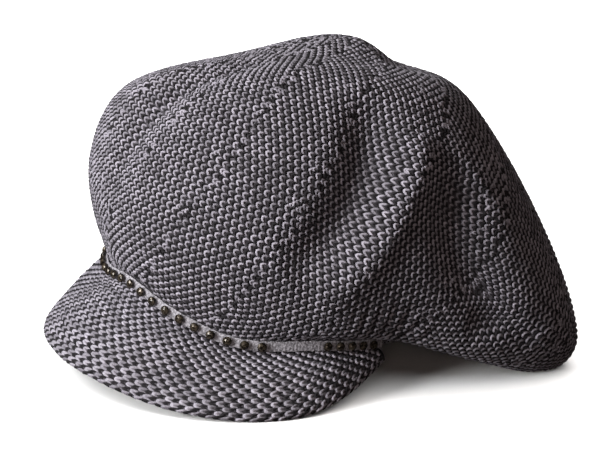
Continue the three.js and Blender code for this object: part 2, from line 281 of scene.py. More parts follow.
# The picture's size, the focal length and the look point's place, in pixels, the look point's
# height over the floor, and the camera's sensor and reach
PICTURE_WIDTH = 612
PICTURE_HEIGHT = 456
FOCAL_PIXELS = 2091.0
LOOK_PIXEL = (267, 300)
LOOK_HEIGHT = 27
SENSOR_WIDTH = 36
CLIP_NEAR = 50
CLIP_FAR = 50000

# The floor and the even light that falls on it alone, whose spread is in degrees
FLOOR_HALF_SIZE = 12000
FLOOR_COLOUR = (0.82, 0.82, 0.82, 1)
FLOOR_ROUGHNESS = 0.9
FLOOR_LIGHT_SPREAD = 110

# The lights: whose power each shares, its turn from the camera and its height in degrees, its
# share of the power and its size. All stand this far from a place above the floor.
STAGE_LIGHTS = (
    ("key_high", "key", -67, 38, 0.42, 500),
    ("key_low", "key", -45, 13, 0.58, 500),
    ("fill_front", "fill", 0, 8, 0.62, 500),
    ("fill_side", "fill", 80, 65, 0.38, 500),
    ("back_soft", "back", 178, 14, 1, 800),
)
LIGHT_DISTANCE = 1300
LIGHT_AIM_HEIGHT = 80

# The white surroundings' strength as a light, and as the camera sees them
WORLD_LIGHT = 0.01
WORLD_SEEN = 1.0


# Properties

class CapKnitSettings(bpy.types.PropertyGroup):
    """Sizes and colours of the knit."""

    course: FloatProperty(
        name="Course step", description="From one stitch to the next along the crown's rows",
        default=0.0021, min=0.001, unit="LENGTH")
    wale: FloatProperty(
        name="Stitch width", description="Width of one stitch across the crown's rows",
        default=0.0035, min=0.001, unit="LENGTH")
    peak_course: FloatProperty(
        name="Peak course step", description="From one stitch to the next along the peak's edge",
        default=0.0037, min=0.001, unit="LENGTH")
    peak_wale: FloatProperty(
        name="Peak stitch width", description="Width of one stitch across the peak's rows",
        default=0.0030, min=0.001, unit="LENGTH")
    yarn: FloatProperty(
        name="Yarn width", description="Width of the yarn",
        default=0.00155, min=0.0005, unit="LENGTH")
    light: FloatVectorProperty(
        name="Light yarn", description="Colour of the light yarn",
        default=(0.35, 0.328, 0.376), subtype="COLOR", min=0, max=1)
    dark: FloatVectorProperty(
        name="Dark yarn", description="Colour of the dark yarn",
        default=(0.018, 0.016, 0.0185), subtype="COLOR", min=0, max=1)
    size_spread: FloatProperty(
        name="Size spread", description="How much the stitches differ in size",
        default=0.09, min=0, max=1, subtype="FACTOR")
    turn_spread: FloatProperty(
        name="Turn spread", description="How far the stitches turn from their places",
        default=0.15, min=0, subtype="ANGLE", unit="ROTATION")
    seed: IntProperty(
        name="Seed", description="Seed of the small unevenness of the stitches", default=7)


class CapTrimSettings(bpy.types.PropertyGroup):
    """Width and colours of the ribbon and the beads."""

    ribbon_width: FloatProperty(
        name="Ribbon width", description="Width of the ribbon over the seam",
        default=0.0054, min=0.001, unit="LENGTH")
    ribbon_colour: FloatVectorProperty(
        name="Ribbon", description="Colour of the ribbon",
        default=(0.36, 0.345, 0.375), subtype="COLOR", min=0, max=1)
    bead_metal: FloatVectorProperty(
        name="Bead rim", description="Colour of the beads' metal rims",
        default=(0.03, 0.025, 0.02), subtype="COLOR", min=0, max=1)
    bead_stone: FloatVectorProperty(
        name="Bead stone", description="Colour of the beads' faceted faces",
        default=(0.045, 0.036, 0.026), subtype="COLOR", min=0, max=1)


class CapStageSettings(bpy.types.PropertyGroup):
    """The camera and the lights."""

    azimuth: FloatProperty(
        name="Azimuth", description="Angle of the camera round the cap from its front",
        default=math.radians(38), subtype="ANGLE", unit="ROTATION")
    elevation: FloatProperty(
        name="Elevation", description="Angle of the camera above the horizon",
        default=math.radians(16), subtype="ANGLE", unit="ROTATION")
    roll: FloatProperty(
        name="Roll", description="Turn of the camera about its own line of sight",
        default=math.radians(4), subtype="ANGLE", unit="ROTATION")
    distance: FloatProperty(
        name="Distance", description="From the camera to the cap",
        default=1.15, min=0.3, unit="LENGTH")
    key_power: FloatProperty(
        name="Key light", description="Power of the large soft lights",
        default=28.0, unit="POWER")
    fill_power: FloatProperty(
        name="Fill light", description="Power of the fill lights",
        default=3.5, unit="POWER")
    fill_colour: FloatVectorProperty(
        name="Fill colour", description="Colour of the fill lights",
        default=(1.0, 0.82, 0.74), subtype="COLOR", min=0, max=1)
    back_power: FloatProperty(
        name="Back light", description="Power of the soft light behind the cap",
        default=9.0, unit="POWER")
    floor_power: FloatProperty(
        name="Floor light", description="Strength of the even light that falls on the floor alone",
        default=4.4)


# The surfaces

def read_column(rows, key, turns, is_round):
    """One column of a table of sections, read smoothly at any turns."""
    knots = rows["turn"]
    values = rows[key]
    if is_round:
        knots = np.concatenate([knots[-2:] - 360, knots, knots[:2] + 360])
        values = np.concatenate([values[-2:], values, values[:2]])
        turns = (turns + 180) % 360 - 180
    else:
        knots = np.concatenate([[knots[0] - 1], knots, [knots[-1] + 1]])
        values = np.concatenate([values[:1], values, values[-1:]])
    steps = np.diff(knots)
    rates = np.diff(values) / steps
    slopes = np.zeros(len(knots))
    slopes[1:-1] = (rates[:-1] * steps[1:] + rates[1:] * steps[:-1]) / (steps[:-1] + steps[1:])
    k = np.clip(np.searchsorted(knots, turns, side="left") - 1, 1, len(knots) - 3)
    t = np.clip((turns - knots[k]) / steps[k], 0, 1)
    start = slopes[k] * steps[k]
    end = slopes[k + 1] * steps[k]
    rise = values[k + 1] - values[k]
    return values[k] + t * (start + t * (3 * rise - 2 * start - end
                                         + t * (start + end - 2 * rise)))


def outward(turns):
    """Unit directions away from the head, level, at these turns."""
    angle = np.radians(turns)
    return np.stack([np.sin(angle), -np.cos(angle), np.zeros_like(angle)], axis=-1)


def seam_points(turns):
    """The seam of crown and peak at these turns, on a leaning oval round the head."""
    angle = np.radians(turns)
    x = HEAD_HALF_WIDTH * np.sin(angle)
    y = -HEAD_HALF_LENGTH * np.cos(angle)
    lean = -math.tan(math.radians(LEAN_TO_LEFT)) * x - math.tan(math.radians(LEAN_TO_BACK)) * y
    z = SEAM_HEIGHT + lean + read_column(CROWN_SECTIONS, "seam_lift", turns, True)
    return np.stack([x, y, z], axis=-1)


def unit(vectors):
    """The vectors at length 1."""
    return vectors / np.maximum(np.linalg.norm(vectors, axis=-1, keepdims=True), LEAST_LENGTH)


def beside_seam(turns, out, up):
    """Points past the seam by `out`, away from the head, and above it by `up`."""
    along = seam_points(turns + 1) - seam_points(turns - 1)
    along[..., 2] = 0
    along = unit(along)
    away = np.stack([along[..., 1], -along[..., 0], np.zeros(along.shape[:-1])], axis=-1)
    points = seam_points(turns) + away * np.asarray(out)[..., None]
    points[..., 2] += up
    return points


def spaced(points, count):
    """Lines of points, shape (lines, points, 3), resampled to even steps along each."""
    result = np.empty((len(points), count, 3))
    for row, line in enumerate(points):
        along = np.concatenate([[0], np.cumsum(np.linalg.norm(np.diff(line, axis=0), axis=1))])
        wanted = np.linspace(0, along[-1], count)
        for axis in range(3):
            result[row, :, axis] = np.interp(wanted, along, line[:, axis])
    return result


def smooth_through(stations, steps):
    """A centripetal curve through each row of stations, shape (lines, stations, 3)."""
    first = 2 * stations[:, :1] - stations[:, 1:2]
    last = 2 * stations[:, -1:] - stations[:, -2:-1]
    p = np.concatenate([first, stations, last], axis=1)
    gaps = np.sqrt(np.linalg.norm(np.diff(p, axis=1), axis=2))[..., None]
    pieces = []
    for k in range(1, p.shape[1] - 2):
        before, here, after = gaps[:, k - 1], gaps[:, k], gaps[:, k + 1]
        x0, x1, x2, x3 = (p[:, k + n] for n in (-1, 0, 1, 2))
        start = ((x1 - x0) / before - (x2 - x0) / (before + here) + (x2 - x1) / here) * here
        end = ((x2 - x1) / here - (x3 - x1) / (here + after) + (x3 - x2) / after) * here
        t = np.linspace(0, 1, steps, endpoint=False)[None, :, None]
        a, b, c, d = (x[:, None] for x in (x1, x2, start, end))
        pieces.append(a + c * t + (3 * (b - a) - 2 * c - d) * t ** 2
                      + (2 * (a - b) + c + d) * t ** 3)
    pieces.append(stations[:, -1:])
    return np.concatenate(pieces, axis=1)


def crown_meridians(turns, count):
    """The crown's unfolded surface: lines from its top to the top of its hem."""
    def station(reach, height):
        points = outward(turns) * read_column(CROWN_SECTIONS, reach, turns, True)[:, None]
        points[:, 2] = read_column(CROWN_SECTIONS, height, turns, True)
        return points
    shoulder = station("shoulder_reach", "shoulder_height")
    top = np.repeat(CROWN_TOP[None], len(turns), axis=0)
    crest = []
    for out_share, drop_share in CROWN_CREST:
        point = top + (shoulder - top) * out_share
        point[:, 2] = top[:, 2] - (top[:, 2] - shoulder[:, 2]) * drop_share
        crest.append(point)
    hem = seam_points(turns)
    hem[:, 2] += HEM_HEIGHT
    stations = np.stack([top, *crest, shoulder, station("wide_reach", "wide_height"),
                         station("foot_reach", "foot_height"), hem], axis=1)
    return spaced(smooth_through(stations, SURFACE_CURVE_STEPS), count)


class Surface:
    """A surface on a grid of turns, all the way round, and runs."""

    def __init__(self, points, last_run):
        self.points = points
        self.last_run = last_run

    def at(self, turns, runs):
        """Points of the surface, read between the grid's own."""
        rows, columns = self.points.shape[:2]
        u = (turns + 180) % 360 / 360 * (rows - 1)
        v = np.clip(runs / self.last_run, 0, 1) * (columns - 1)
        i = np.clip(u.astype(int), 0, rows - 2)
        j = np.clip(v.astype(int), 0, columns - 2)
        s, t = (u - i)[..., None], (v - j)[..., None]
        g = self.points
        return ((g[i, j] * (1 - t) + g[i, j + 1] * t) * (1 - s)
                + (g[i + 1, j] * (1 - t) + g[i + 1, j + 1] * t) * s)

    def on_disc(self, q):
        """Points of the surface at places on a disc, its middle the top, its radius the run."""
        return self.at(np.degrees(np.arctan2(q[..., 0], q[..., 1])),
                       np.hypot(q[..., 0], q[..., 1]))

    def slopes(self, q):
        """How the surface moves with each of the disc's two directions."""
        step = 0.008
        moved = []
        for axis in range(2):
            offset = np.zeros(2)
            offset[axis] = step
            moved.append((self.on_disc(q + offset) - self.on_disc(q - offset)) / (2 * step))
        return moved

    def normal(self, q):
        """Outward unit normals at places on the disc."""
        across, down = self.slopes(q)
        return unit(np.cross(down, across))


def grid_normals(points):
    """Outward unit normals of a grid of turns, all the way round, and runs."""
    ring = np.concatenate([points[-2:-1], points, points[1:2]], axis=0)
    around = ring[2:] - ring[:-2]
    down = np.gradient(points, axis=1)
    return unit(np.cross(down, around))


def fold_lift(points, base, fold):
    """How far a fold lifts each point: full along its middle, fading to its ends and sides.

    A gather has two numbers more: how many ripples stand along its path and where in a
    ripple it begins.
    """
    begin, middle, end, half_width, lift, *ripple = fold
    bend = [2 * middle[k] - (begin[k] + end[k]) / 2 for k in range(2)]
    t = np.linspace(0, 1, FOLD_PATH_STEPS + 1)
    places = [(1 - t) ** 2 * begin[k] + 2 * t * (1 - t) * bend[k] + t ** 2 * end[k]
              for k in range(2)]
    path = base.at(places[0], places[1])
    nearest = np.full(points.shape[:2], np.inf)
    share = np.zeros(points.shape[:2])
    for k in range(FOLD_PATH_STEPS):
        piece = path[k + 1] - path[k]
        along = np.clip((points - path[k]) @ piece / (piece @ piece), 0, 1)
        away = np.linalg.norm(points - path[k] - along[..., None] * piece, axis=-1)
        closer = away < nearest
        nearest = np.where(closer, away, nearest)
        share = np.where(closer, (k + along) / FOLD_PATH_STEPS, share)
    fade = 1 - np.abs(2 * share - 1) ** 3
    if ripple:
        count, start = ripple
        fade = fade * np.sin(2 * np.pi * (count * share + start))
    return lift * fade * np.exp(-(nearest / half_width) ** 2)


def crown_surface(folds):
    """The crown's surface with these folds, carried on a little way past the hem."""
    turns = np.linspace(-180, 180, SURFACE_TURNS + 1)
    runs = np.linspace(0, 1, SURFACE_RUNS + 1)
    points = crown_meridians(turns, SURFACE_RUNS + 1)
    base = Surface(points, 1.0)
    normals = grid_normals(points)
    lift = sum((fold_lift(points, base, fold) for fold in folds), np.zeros(points.shape[:2]))
    lift *= np.clip((1 - runs) / FOLD_FREE_HEM, 0, 1)[None]
    folded = points + normals * lift[..., None]
    folded[..., 2] = np.maximum(folded[..., 2], 0)
    extra = int(SURFACE_RUNS * GORE_EXTRA_RUN)
    step = points[:, -1:] - points[:, -2:-1]
    beyond = points[:, -1:] + step * np.arange(1, extra + 1)[:, None]
    return Surface(np.concatenate([folded, beyond], axis=1), 1 + extra / SURFACE_RUNS)


def row_frame_shift():
    """How far the part's source moves the cap, so that its box stands over the origin."""
    low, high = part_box("trim_ribbon")
    middle = np.array([(low[k] + high[k]) / 2 / MM for k in range(2)])
    turns = np.linspace(*edge_turns(), SOURCE_RIBBON_PLACES)
    ribbon = beside_seam(turns, SOURCE_RIBBON_OUT, 0)
    own = (ribbon[:, :2].min(0) + ribbon[:, :2].max(0)) / 2
    return np.array([*(middle - own), 0.0])


def edge_turns():
    """The first and the last turn of the peak."""
    return PEAK_SECTIONS["turn"][0], PEAK_SECTIONS["turn"][-1]


# Meshes

def new_piece(name, vertices, faces, smooth=True):
    """A mesh object from vertices in millimetres, in the source's own place."""
    mesh = bpy.data.meshes.new(name)
    mesh.from_pydata(((np.asarray(vertices) + SHIFT) * MM).tolist(), [], faces)
    mesh.validate()
    mesh.polygons.foreach_set("use_smooth", [smooth] * len(mesh.polygons))
    piece = bpy.data.objects.new(name, mesh)
    bpy.context.scene.collection.objects.link(piece)
    return piece


def outward_faces(piece):
    """Turns a closed mesh's faces outwards."""
    work = bmesh.new()
    work.from_mesh(piece.data)
    bmesh.ops.recalc_face_normals(work, faces=work.faces)
    work.to_mesh(piece.data)
    work.free()


def finish_piece(piece, material, nodes):
    """Gives a piece its material, its body and the nodes that it stands for."""
    if material.name not in [m.name for m in piece.data.materials if m]:
        piece.data.materials.clear()
        piece.data.materials.append(material)
    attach(piece, BODY)
    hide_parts(*nodes)


def skin(loops, closed_loops, caps):
    """Faces over loops of points, shape (loops, points, 3), the ends capped or joined."""
    count, size = loops.shape[:2]
    faces = []
    for i in range(count if closed_loops else count - 1):
        for j in range(size):
            a, b = i * size + j, i * size + (j + 1) % size
            c, d = (i + 1) % count * size + (j + 1) % size, (i + 1) % count * size + j
            faces.append((a, b, c, d))
    if caps:
        faces.append(tuple(range(size))[::-1])
        faces.append(tuple(range((count - 1) * size, count * size)))
    return loops.reshape(-1, 3), faces


def set_uv(piece, uv):
    """A UV map from one (u, v) for each vertex."""
    layer = piece.data.uv_layers.new(name="UVMap")
    corners = np.empty(len(piece.data.loops), dtype=int)
    piece.data.loops.foreach_get("vertex_index", corners)
    layer.data.foreach_set("uv", np.asarray(uv, dtype=float)[corners].ravel())


def along_and_around(loops, is_round):
    """A UV in millimetres along a row of loops and round each of them."""
    steps = np.linalg.norm(np.diff(loops[:, 0], axis=0), axis=1)
    along = np.concatenate([[0], np.cumsum(steps)])
    if is_round:
        along = np.minimum(along, along[-1] - along + steps[-1])
    ring = np.linalg.norm(np.diff(loops[0], axis=0), axis=1)
    around = np.concatenate([[0], np.cumsum(ring)])
    around = np.minimum(around, around[-1] - around + ring[-1])
    count, size = loops.shape[:2]
    return np.stack([np.repeat(along, size), np.tile(around, count)], axis=-1)


def squared(wave, power):
    """A sine or cosine brought nearer to 1 or -1, which squares the corners of a ring."""
    return math.copysign(abs(wave) ** power, wave)


# Materials

def node_material(name):
    """A new material with its shader, and helpers that add nodes and links."""
    material = bpy.data.materials.new(name)
    material.use_nodes = True
    nodes = material.node_tree.nodes
    shader = nodes["Principled BSDF"]

    def add(kind, **values):
        node = nodes.new(kind)
        for key, value in values.items():
            setattr(node, key, value)
        return node
    return material, shader, add, material.node_tree.links.new


def mix_colour(add, link, factor, first, second):
    """A mix of two plain colours by a factor."""
    node = add("ShaderNodeMix", data_type="RGBA")
    link(factor, node.inputs[MIX_FACTOR])
    node.inputs[MIX_FIRST].default_value = (*first, 1)
    node.inputs[MIX_SECOND].default_value = (*second, 1)
    return node.outputs[MIX_RESULT]


def uv_wave(add, link, lengthwise, around):
    """A sine that repeats so many times over each unit of the piece's UV map."""
    place = add("ShaderNodeUVMap", uv_map="UVMap")
    way = add("ShaderNodeVectorMath", operation="DOT_PRODUCT")
    way.inputs[1].default_value = (2 * math.pi * lengthwise, 2 * math.pi * around, 0)
    link(place.outputs["UV"], way.inputs[0])
    wave = add("ShaderNodeMath", operation="SINE")
    link(way.outputs["Value"], wave.inputs[0])
    return wave.outputs[0]


def knit_bumps(add, link, lengthwise, around):
    """Small bumps in a chequer, where two slanting waves cross."""
    return combine(add, link, "MULTIPLY", uv_wave(add, link, lengthwise, around),
                   uv_wave(add, link, lengthwise, -around))


def noise(add, link, scale, detail=3):
    """Even noise in the piece's own space."""
    place = add("ShaderNodeTexCoord")
    texture = add("ShaderNodeTexNoise")
    texture.inputs["Scale"].default_value = scale
    texture.inputs["Detail"].default_value = detail
    link(place.outputs["Object"], texture.inputs["Vector"])
    return texture.outputs["Fac"]


def spread(add, link, value, of, to):
    """A value carried over from one range to another."""
    node = add("ShaderNodeMapRange")
    for name, number in zip(("From Min", "From Max", "To Min", "To Max"), (*of, *to)):
        node.inputs[name].default_value = number
    link(value, node.inputs["Value"])
    return node.outputs["Result"]


def combine(add, link, operation, first, second):
    """Two values, sockets or plain numbers, put together by a sum or the like."""
    node = add("ShaderNodeMath", operation=operation)
    for socket, value in zip(node.inputs, (first, second)):
        if isinstance(value, bpy.types.NodeSocket):
            link(value, socket)
        else:
            socket.default_value = value
    return node.outputs[0]


def shaded(add, link, colour, factor):
    """A colour made lighter or darker by a factor."""
    node = add("ShaderNodeVectorMath", operation="SCALE")
    link(colour, node.inputs[0])
    link(factor, node.inputs["Scale"])
    return node.outputs["Vector"]


def raise_surface(add, link, shader, height, distance, strength):
    """Gives a shader a relief of this depth."""
    bump = add("ShaderNodeBump")
    bump.inputs["Strength"].default_value = strength
    bump.inputs["Distance"].default_value = distance
    link(height, bump.inputs["Height"])
    link(bump.outputs["Normal"], shader.inputs["Normal"])


def wool(shader):
    """The dull, slightly furry finish of the yarn."""
    for name, value in WOOL_FINISH.items():
        shader.inputs[name].default_value = value


def knit_material(settings):
    """Wool knit: light or dark yarn by each stitch, with a twist and a soft fuzz."""
    material, shader, add, link = node_material("cap_knit")
    yarn = add("ShaderNodeAttribute", attribute_name="yarn")
    shade = add("ShaderNodeAttribute", attribute_name="shade")
    fleck = noise(add, link, scale=2600)
    plain = mix_colour(add, link, yarn.outputs["Fac"], settings.dark, settings.light)
    by_stitch = spread(add, link, shade.outputs["Fac"], of=(0, 1), to=(0.68, 1.3))
    by_place = spread(add, link, fleck, of=NOISE_SPAN, to=(0.6, 1.3))
    change = combine(add, link, "MULTIPLY", by_stitch, by_place)
    link(shaded(add, link, plain, change), shader.inputs["Base Color"])
    wool(shader)
    twist_share = 0.5
    twist = combine(add, link, "MULTIPLY", uv_wave(add, link, lengthwise=7, around=2), twist_share)
    height = combine(add, link, "ADD", twist, fleck)
    raise_surface(add, link, shader, height, distance=0.00012, strength=0.5)
    return material


def cloth_and_gap_shade_material(settings):
    """The knit's wrong side: bumps of both yarns inside, dark outside as painted shade in the
    stitches' gaps.
    """
    material, shader, add, link = node_material("cap_cloth_and_gap_shade")
    inside = add("ShaderNodeAttribute", attribute_name="inside")
    fleck = noise(add, link, scale=1900)
    rows = knit_bumps(add, link, lengthwise=0.145, around=0.24)
    light_bumps = spread(add, link, rows, of=(-0.15, 0.25), to=(0.0, 0.8))
    share = combine(add, link, "MULTIPLY", inside.outputs["Fac"], light_bumps)
    # The outer face keeps only this share of the light yarn, the rest dark: painted shade in the
    # gaps between the stitches.
    least_light = 0.2
    share = combine(add, link, "ADD", share, least_light)
    plain = mix_colour(add, link, share, settings.dark, settings.light)
    change = spread(add, link, fleck, of=NOISE_SPAN, to=(0.7, 1.2))
    link(shaded(add, link, plain, change), shader.inputs["Base Color"])
    wool(shader)
    height = combine(add, link, "ADD", rows, fleck)
    raise_surface(add, link, shader, height, distance=0.0005, strength=0.6)
    return material


def band_material(settings):
    """The head band's ribbed knit: upright ribs that mix both yarns, darker in the ribs' hollows as
    painted shade.
    """
    material, shader, add, link = node_material("cap_band")
    fleck = noise(add, link, scale=1700)
    ribs = uv_wave(add, link, lengthwise=0.3, around=0)
    links = knit_bumps(add, link, lengthwise=0.15, around=0.24)
    share = spread(add, link, links, of=(-0.2, 0.3), to=(0.05, 0.7))
    plain = mix_colour(add, link, share, settings.dark, settings.light)
    # Darker where the ribs sink: painted shade in their hollows.
    change = spread(add, link, ribs, of=(-1, 1), to=(0.45, 1.1))
    link(shaded(add, link, plain, change), shader.inputs["Base Color"])
    wool(shader)
    height = combine(add, link, "ADD", ribs, combine(add, link, "ADD", links, fleck))
    raise_surface(add, link, shader, height, distance=0.0005, strength=0.7)
    return material


def ribbon_material(settings):
    """A soft ribbon with a fine slanting weave and a little fluff."""
    material, shader, add, link = node_material("cap_ribbon")
    fleck = noise(add, link, scale=850, detail=5)
    weave = combine(add, link, "MULTIPLY", uv_wave(add, link, lengthwise=0.42, around=0.3),
                    uv_wave(add, link, lengthwise=0.12, around=-0.5))
    weave_share = 0.12
    height = combine(add, link, "ADD", combine(add, link, "MULTIPLY", weave, weave_share), fleck)
    plain = add("ShaderNodeRGB")
    plain.outputs[0].default_value = (*settings.ribbon_colour, 1)
    by_weave = spread(add, link, weave, of=(-1, 1), to=(0.86, 1.12))
    by_place = spread(add, link, fleck, of=(0.35, 0.65), to=(0.45, 1.45))
    change = combine(add, link, "MULTIPLY", by_weave, by_place)
    link(shaded(add, link, plain.outputs[0], change), shader.inputs["Base Color"])
    wool(shader)
    raise_surface(add, link, shader, height, distance=0.0008, strength=0.9)
    return material


def bead_material(name, colour, roughness):
    """Cut glass with a bronze sheen, darker and brighter in places by noise: painted glints in
    place of the facets' reflections.
    """
    material, shader, add, link = node_material(name)
    cloud = noise(add, link, scale=700, detail=2)
    # A dark and a bright copy of the colour, mixed by noise: painted glints and dim facets,
    # standing in for reflections.
    deep, painted_glint = (tuple(part * share for part in colour) for share in BEAD_GLINT_SHADES)
    shade = mix_colour(add, link, spread(add, link, cloud, of=(0.4, 0.6), to=(0, 1)), deep, painted_glint)
    link(shade, shader.inputs["Base Color"])
    dullness = [roughness * share for share in BEAD_ROUGHNESS_SHARES]
    link(spread(add, link, cloud, of=NOISE_SPAN, to=dullness), shader.inputs["Roughness"])
    shader.inputs["Metallic"].default_value = 0.4
    return material


# Stitches

def gore_middle(gore, run):
    """The turn of a gore's middle line at a run; gores are counted on past the last."""
    return (GORE_STARTS[gore % GORE_COUNT] + 360 * (gore // GORE_COUNT)
            + GORE_SLANTS[gore % GORE_COUNT] * (run - 0.5))


def crown_lattice(base, settings):
    """Places of the crown's stitches: rows that run side by side from each gore's middle line.

    Gives, for every gore, course and stitch along it, a place on the disc, and whether the
    stitch lies on the crown between the gore's edges.
    """
    course = settings.course / MM
    wale = settings.wale / MM
    fine = np.linspace(POLE_RUN, 1 + GORE_EXTRA_RUN * GORE_LINE_SHARE, GORE_LINE_STEPS)
    lines = []
    for gore in range(GORE_COUNT):
        line = base.at(gore_middle(gore, fine), fine)
        along = np.concatenate([[0], np.cumsum(np.linalg.norm(np.diff(line, axis=0), axis=1))])
        lines.append(np.interp(np.arange(0, along[-1], wale), along, fine))
    longest = max(len(runs) for runs in lines)
    runs = np.stack([np.concatenate([r, np.full(longest - len(r), r[-1])]) for r in lines])
    known = np.stack([np.arange(longest) < len(r) for r in lines])
    gores = np.arange(GORE_COUNT)[:, None]
    turns = np.radians(gore_middle(gores, runs))
    middle = np.stack([runs * np.sin(turns), runs * np.cos(turns)], axis=-1)

    side_steps = int(GORE_HALF_WIDTH / course)
    places = [middle]
    for side in (1, -1):
        q = middle
        row = []
        for _ in range(side_steps):
            q = step_aside(base, q, side * course)
            row.append(q)
        places = [*places, *row] if side > 0 else [*row[::-1], *places]
    q = np.stack(places, axis=1)
    run = np.hypot(q[..., 0], q[..., 1])
    turn = np.degrees(np.arctan2(q[..., 0], q[..., 1]))
    gores = gores[..., None]
    here = gore_middle(gores, run)
    aside = (turn - here + 180) % 360 - 180
    edge = GORE_OVERLAP / np.maximum(run, GORE_OVERLAP_RUN)
    inside = ((aside > (gore_middle(gores - 1, run) - here) / 2 - edge)
              & (aside <= (gore_middle(gores + 1, run) - here) / 2 + edge)
              & (run < LAST_RUN) & (run > POLE_RUN / 2) & known[:, None, :])
    return q, inside


def join_gores(points, axis, inside, yarn, course, wale):
    """Leaves out each stitch that would lie on one already placed, from gore to gore and from
    each gore's middle outwards. Beside an earlier gore, a stitch takes the other yarn than the
    nearest stitch there. Distances count in steps of the knit.
    """
    kept = np.zeros_like(inside)
    yarn = yarn.copy()
    taken = {}
    half = points.shape[1] // 2
    order = sorted(np.argwhere(inside).tolist(), key=lambda p: (p[0], abs(p[1] - half), p[1], p[2]))
    around = list(itertools.product((-1, 0, 1), repeat=3))
    reach = STITCH_REACH * wale
    for gore, row, stitch in order:
        x, y, z = points[gore, row, stitch].tolist()
        a, b, c = axis[gore, row, stitch].tolist()
        cell = (int(x // reach), int(y // reach), int(z // reach))
        near = []
        for i, j, k in around:
            for u, v, w, other, colour in taken.get((cell[0] + i, cell[1] + j, cell[2] + k), ()):
                along = (u - x) * a + (v - y) * b + (w - z) * c
                square = (u - x) ** 2 + (v - y) ** 2 + (w - z) ** 2
                aside = math.sqrt(max(square - along ** 2, 0))
                near.append((math.hypot(along / course, aside / wale), other, colour))
        if near and min(near)[0] < STITCH_ROOM:
            continue
        foreign = [item for item in near if item[1] != gore and item[0] < STITCH_REACH]
        if foreign:
            yarn[gore, row, stitch] = 1 - min(foreign)[2]
        kept[gore, row, stitch] = True
        taken.setdefault(cell, []).append((x, y, z, gore, yarn[gore, row, stitch]))
    return kept, yarn


def step_aside(base, q, distance):
    """Moves rows of places over the surface, square to the row, by a distance."""
    points = base.on_disc(q)
    along = unit(np.gradient(points, axis=1))
    across, down = base.slopes(q)
    away = unit(np.cross(unit(np.cross(down, across)), along))
    target = points + away * distance
    corrections = 2
    for _ in range(corrections):
        miss = target - base.on_disc(q)
        q = q + solve_plane(across, down, miss)
    return q


def solve_plane(first, second, wanted):
    """The shares of two directions that come closest to a wanted move."""
    aa = (first * first).sum(-1)
    bb = (second * second).sum(-1)
    ab = (first * second).sum(-1)
    fa = (first * wanted).sum(-1)
    fb = (second * wanted).sum(-1)
    size = np.maximum(aa * bb - ab * ab, LEAST_AREA)
    return np.stack([(fa * bb - fb * ab) / size, (fb * aa - fa * ab) / size], axis=-1)


def stitch_frames(points, normals, course, wale, courses_axis, wales_axis):
    """Directions and sizes of stitches on a lattice of points."""
    forward = np.gradient(points, axis=courses_axis)
    sideways = np.gradient(points, axis=wales_axis)
    axis = unit(forward - (forward * normals).sum(-1, keepdims=True) * normals)
    width_way = np.cross(normals, axis)
    length = np.abs((forward * axis).sum(-1)) / course
    width = np.abs((sideways * width_way).sum(-1)) / wale
    size = np.stack([length, width, np.ones_like(length)], axis=-1)
    return axis, np.clip(size, *STITCH_SIZES)


def loop_mesh(name, length, width, yarn, sides, steps):
    """One stitch: a hairpin of yarn that opens along +X, its ends tucked under."""
    end = np.array(LOOP_END) * (length, width, yarn)
    bend = np.array(LOOP_BEND) * (length, width, yarn)
    other_side = np.array([1, -1, 1])
    corners = (end, bend, bend * other_side, end * other_side)
    t = np.linspace(0, 1, steps + 1)[:, None]
    line = ((1 - t) ** 3 * corners[0] + 3 * t * (1 - t) ** 2 * corners[1]
            + 3 * t ** 2 * (1 - t) * corners[2] + t ** 3 * corners[3])
    tangent = unit(np.gradient(line, axis=0))
    flat = unit(np.cross(np.array([0.0, 0.0, 1.0]), tangent))
    upright = np.cross(tangent, flat)
    thick = yarn / 2 * (LOOP_THICKNESS[0] + LOOP_THICKNESS[1] * np.sin(np.pi * t) ** 0.5)
    angle = 2 * np.pi * np.arange(sides) / sides + np.pi / 2
    rings = (line[:, None] + thick[:, None] * (np.cos(angle)[None, :, None] * flat[:, None]
             + np.sin(angle)[None, :, None] * upright[:, None]))[1:-1]
    vertices, faces = skin(rings, False, False)
    last = len(vertices) - sides
    for k in range(sides):
        after = (k + 1) % sides
        faces.append((len(vertices), after, k))
        faces.append((len(vertices) + 1, last + k, last + after))
    vertices = np.concatenate([vertices, line[:1], line[-1:]])
    mesh = bpy.data.meshes.new(name)
    mesh.from_pydata((vertices * MM).tolist(), [], faces)
    mesh.polygons.foreach_set("use_smooth", [True] * len(mesh.polygons))
    along = np.concatenate([np.repeat(np.linspace(0, 1, steps + 1)[1:-1], sides), [0, 1]])
    around = np.concatenate([np.tile(np.arange(sides) / sides, steps - 1), [0, 0]])
    holder = bpy.data.objects.new(name, mesh)
    set_uv(holder, np.stack([along, around], axis=-1))
    outward_faces(holder)
    return holder


